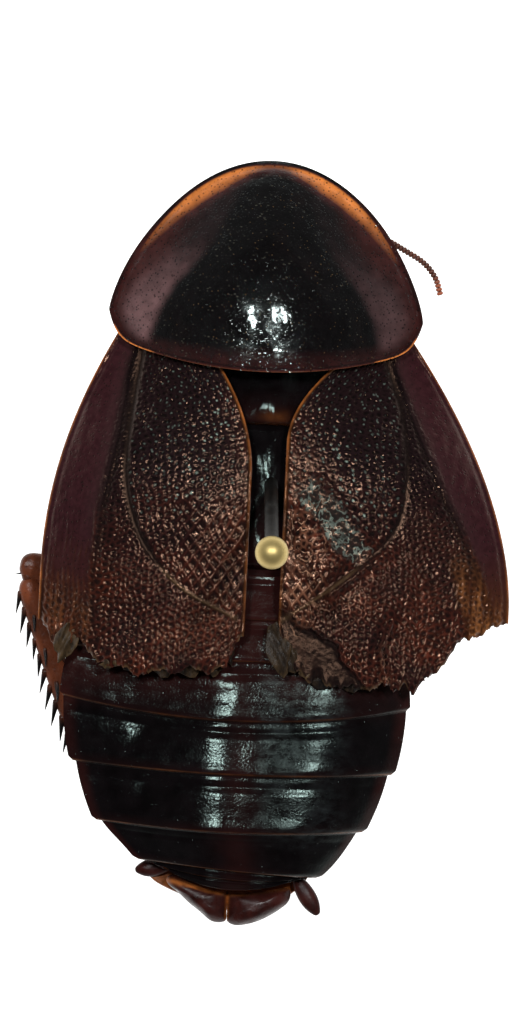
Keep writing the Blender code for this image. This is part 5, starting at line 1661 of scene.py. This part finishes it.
PIN_ENTRY = Vector((-0.68, -1.1, 1.4))
PIN_WAY = Vector((-math.tan(math.radians(0.7)), math.tan(math.radians(13.7)), 1.0)).normalized()
PIN_HEAD_AT = 10.45
PIN_LENGTH = 38.0
BLOCK_SIZE = (11.0, 21.0, 6.0)
BLOCK_CORNER, BLOCK_EDGE = 3.0, 0.45
HOLE_RADIUS, DRILL_LENGTH = 0.42, 8.0


def pin_point(ball):
    """How far along the pin its point lies from its entry."""
    return PIN_HEAD_AT + ball - PIN_LENGTH


def make_pin():
    """A grey steel shaft with a brass-coloured ball for a head."""
    size = sizes()
    thick, ball = size.pin_radius / MM, size.pin_head_radius / MM
    head = PIN_ENTRY + PIN_WAY * PIN_HEAD_AT
    tip = PIN_ENTRY + PIN_WAY * pin_point(ball)
    long = (head - tip).length
    shaft = grow("pin_shaft", [
        (0.0, 0.012), (0.4, 0.06), (1.2, 0.16), (2.2, thick), (2.6, thick), (long * 0.5, thick),
        (long - ball * 0.6, thick),
    ], 24, 0)
    modify(shaft, "BEVEL", width=0.05, segments=2, limit_method="ANGLE", angle_limit=math.radians(50))
    aim(shaft, tip, head)
    settle(joined("pin_shaft", shaft), "pin steel", sharp=30)
    knob = globe(64, 40, ball, (1.0, 1.0, 0.96))
    x, y, z = read(knob)
    collar = 1 + 0.35 * bell(z + ball * 0.86, ball * 0.10)
    drape(knob, x * collar, y * collar, z)
    aim(knob, head, head + PIN_WAY)
    settle(joined("pin_head", knob), "pin brass", "stand_pin")


def make_block():
    """A painted block with round corners and edges, and the hole that the pin stands in."""
    deselect()
    bpy.ops.mesh.primitive_cube_add(size=1.0, location=ORIGIN)
    block = bpy.context.object
    with editing(block):
        bpy.ops.transform.resize(value=BLOCK_SIZE, center_override=ORIGIN)
        bpy.ops.transform.translate(value=(0.0, 0.0, BLOCK_SIZE[2] / 2))
        bpy.ops.mesh.select_mode(type="EDGE")
        bpy.ops.mesh.select_all(action="DESELECT")
    for edge in block.data.edges:
        a, b = (block.data.vertices[i].co for i in edge.vertices)
        edge.select = abs(a.z - b.z) > 1.0
    bpy.ops.object.mode_set(mode="EDIT")
    bpy.ops.mesh.bevel(offset=BLOCK_CORNER, offset_type="OFFSET", segments=14)
    bpy.ops.object.mode_set(mode="OBJECT")
    modify(block, "BEVEL", width=BLOCK_EDGE, segments=5, limit_method="ANGLE", angle_limit=math.radians(60))
    deselect()
    bpy.ops.mesh.primitive_cylinder_add(vertices=40, radius=HOLE_RADIUS, depth=DRILL_LENGTH)
    drill = bpy.context.object
    drill.matrix_world = PIN_WAY.to_track_quat("Z", "Y").to_matrix().to_4x4()
    bottom = pin_point(sizes().pin_head_radius / MM) - 0.1
    drill.location = PIN_ENTRY + UP * BODY_Z + PIN_WAY * (bottom + DRILL_LENGTH / 2)
    bpy.context.view_layer.update()
    modify(block, "BOOLEAN", object=drill, operation="DIFFERENCE", solver="EXACT")
    bpy.data.objects.remove(drill)
    block.name = "pinning_block"
    settle(block, "block paint", "stand_base", lift=0.0, sharp=35)


# the stage

VIEW_MIDDLE = (-0.28, -0.05, BODY_Z + 0.4)  # on the animal's back, in millimetres
LAMP_DISTANCE = 0.30
SENSOR = 36.0


def make_stage():
    stage = bpy.context.scene.specimen_stage
    deselect()
    bpy.ops.mesh.primitive_plane_add(size=6.0, location=(0.0, 0.0, -0.0001))
    floor = bpy.context.object
    floor.name = "table"
    floor.data.materials.append(finish_of("table top"))
    back = Vector(VIEW_MIDDLE) * MM
    for side, name in SIDES:
        way = Vector((side * math.tan(stage.lean_side), -math.tan(stage.lean_head), 1.0)).normalized()
        bpy.ops.object.light_add(type="AREA", location=back + way * LAMP_DISTANCE)
        lamp = bpy.context.object
        lamp.name = "lamp_" + name
        lamp.rotation_euler = (-way).to_track_quat("-Z", "Y").to_euler()
        lamp.data.shape = "DISK"
        lamp.data.size = stage.lamp_size
        lamp.data.energy = stage.lamp_power
        lamp.data.color = (0.95, 0.985, 1.0)
    world = bpy.context.scene.world or bpy.data.worlds.new("room")
    bpy.context.scene.world = world
    world.use_nodes = True
    tree = world.node_tree
    way = tree.nodes.new("ShaderNodeTexCoord")
    split = tree.nodes.new("ShaderNodeSeparateXYZ")
    sky = tree.nodes.new("ShaderNodeValToRGB")
    sky.color_ramp.interpolation = "EASE"
    sky.color_ramp.elements[0].color = (stage.sky_low,) * 3 + (1.0,)
    sky.color_ramp.elements[1].color = (stage.sky_high,) * 3 + (1.0,)
    sky.color_ramp.elements[0].position, sky.color_ramp.elements[1].position = 0.06, 0.78
    for height, level in ((0.24, stage.sky_side), (0.48, mix(stage.sky_side, stage.sky_high, 0.35))):
        sky.color_ramp.elements.new(height).color = (level,) * 3 + (1.0,)
    tree.links.new(way.outputs["Generated"], split.inputs[0])
    tree.links.new(split.outputs["Z"], sky.inputs["Fac"])
    tree.links.new(sky.outputs["Color"], tree.nodes["Background"].inputs["Color"])
    bpy.ops.object.camera_add(location=back + UP * stage.height)
    camera = bpy.context.object
    right = Vector((-math.cos(stage.turn), -math.sin(stage.turn), 0.0))
    above = Vector((math.sin(stage.turn), -math.cos(stage.turn), 0.0))
    camera.rotation_euler = Matrix((right, above, right.cross(above))).transposed().to_euler()
    camera.data.sensor_width = SENSOR
    camera.data.lens = SENSOR * stage.height / stage.field
    camera.data.clip_start, camera.data.clip_end = 0.01, 20.0
    bpy.context.scene.camera = camera
    bpy.context.scene.view_settings.view_transform = "Standard"


# operators, panel and registration


def operator(name, label, words, *makers):
    """An operator that builds one piece, or a group of like pieces."""

    def execute(self, context):
        for maker in makers:
            maker()
        return {"FINISHED"}

    about = {"bl_idname": "specimen." + name, "bl_label": label, "__doc__": words, "bl_options": {"REGISTER"}}
    return type("SPECIMEN_OT_" + name, (bpy.types.Operator,), {**about, "execute": execute})


OPERATORS = (
    operator("stage", "Stage", "Sets up the table, the lamps and the camera", make_stage),
    operator("shield", "Neck shield", "Builds the neck shield", make_shield),
    operator("wing_cases", "Wing cases", "Builds the wing cases", make_wings),
    operator("scraps", "Wing scraps", "Builds the rags of the hind wings", make_scraps),
    operator("thorax", "Thorax", "Builds the rings of the thorax", make_thorax),
    operator("abdomen", "Abdomen", "Builds the plates of the abdomen", make_abdomen),
    operator("tail", "Tail end", "Builds the tail lobes and tail feelers", make_tail),
    operator("head", "Head", "Builds the head and eyes", make_head),
    operator("feelers", "Feelers", "Builds the long and the short feelers", make_feelers, make_palps),
    operator("legs", "Legs", "Builds the six legs", make_legs),
    operator("pin", "Pin", "Builds the pin", make_pin),
    operator("block", "Block", "Builds the block", make_block),
)


class VIEW3D_PT_specimen(bpy.types.Panel):
    """Lists the pieces of the specimen"""

    bl_label = "Specimen"
    bl_space_type = "VIEW_3D"
    bl_region_type = "UI"
    bl_category = "Specimen"

    def draw(self, context):
        column = self.layout.column()
        for made in OPERATORS:
            column.operator(made.bl_idname)


CLASSES = (SpecimenSizes, SpecimenColours, SpecimenStage, *OPERATORS, VIEW3D_PT_specimen)


def register():
    for made in CLASSES:
        bpy.utils.register_class(made)
    bpy.types.Scene.specimen_sizes = PointerProperty(type=SpecimenSizes)
    bpy.types.Scene.specimen_colours = PointerProperty(type=SpecimenColours)
    bpy.types.Scene.specimen_stage = PointerProperty(type=SpecimenStage)


def unregister():
    del bpy.types.Scene.specimen_stage
    del bpy.types.Scene.specimen_colours
    del bpy.types.Scene.specimen_sizes
    for made in reversed(CLASSES):
        bpy.utils.unregister_class(made)


def main():
    register()
    for made in OPERATORS:
        group, name = made.bl_idname.split(".")
        getattr(getattr(bpy.ops, group), name)()


if __name__ == "__main__":
    main()
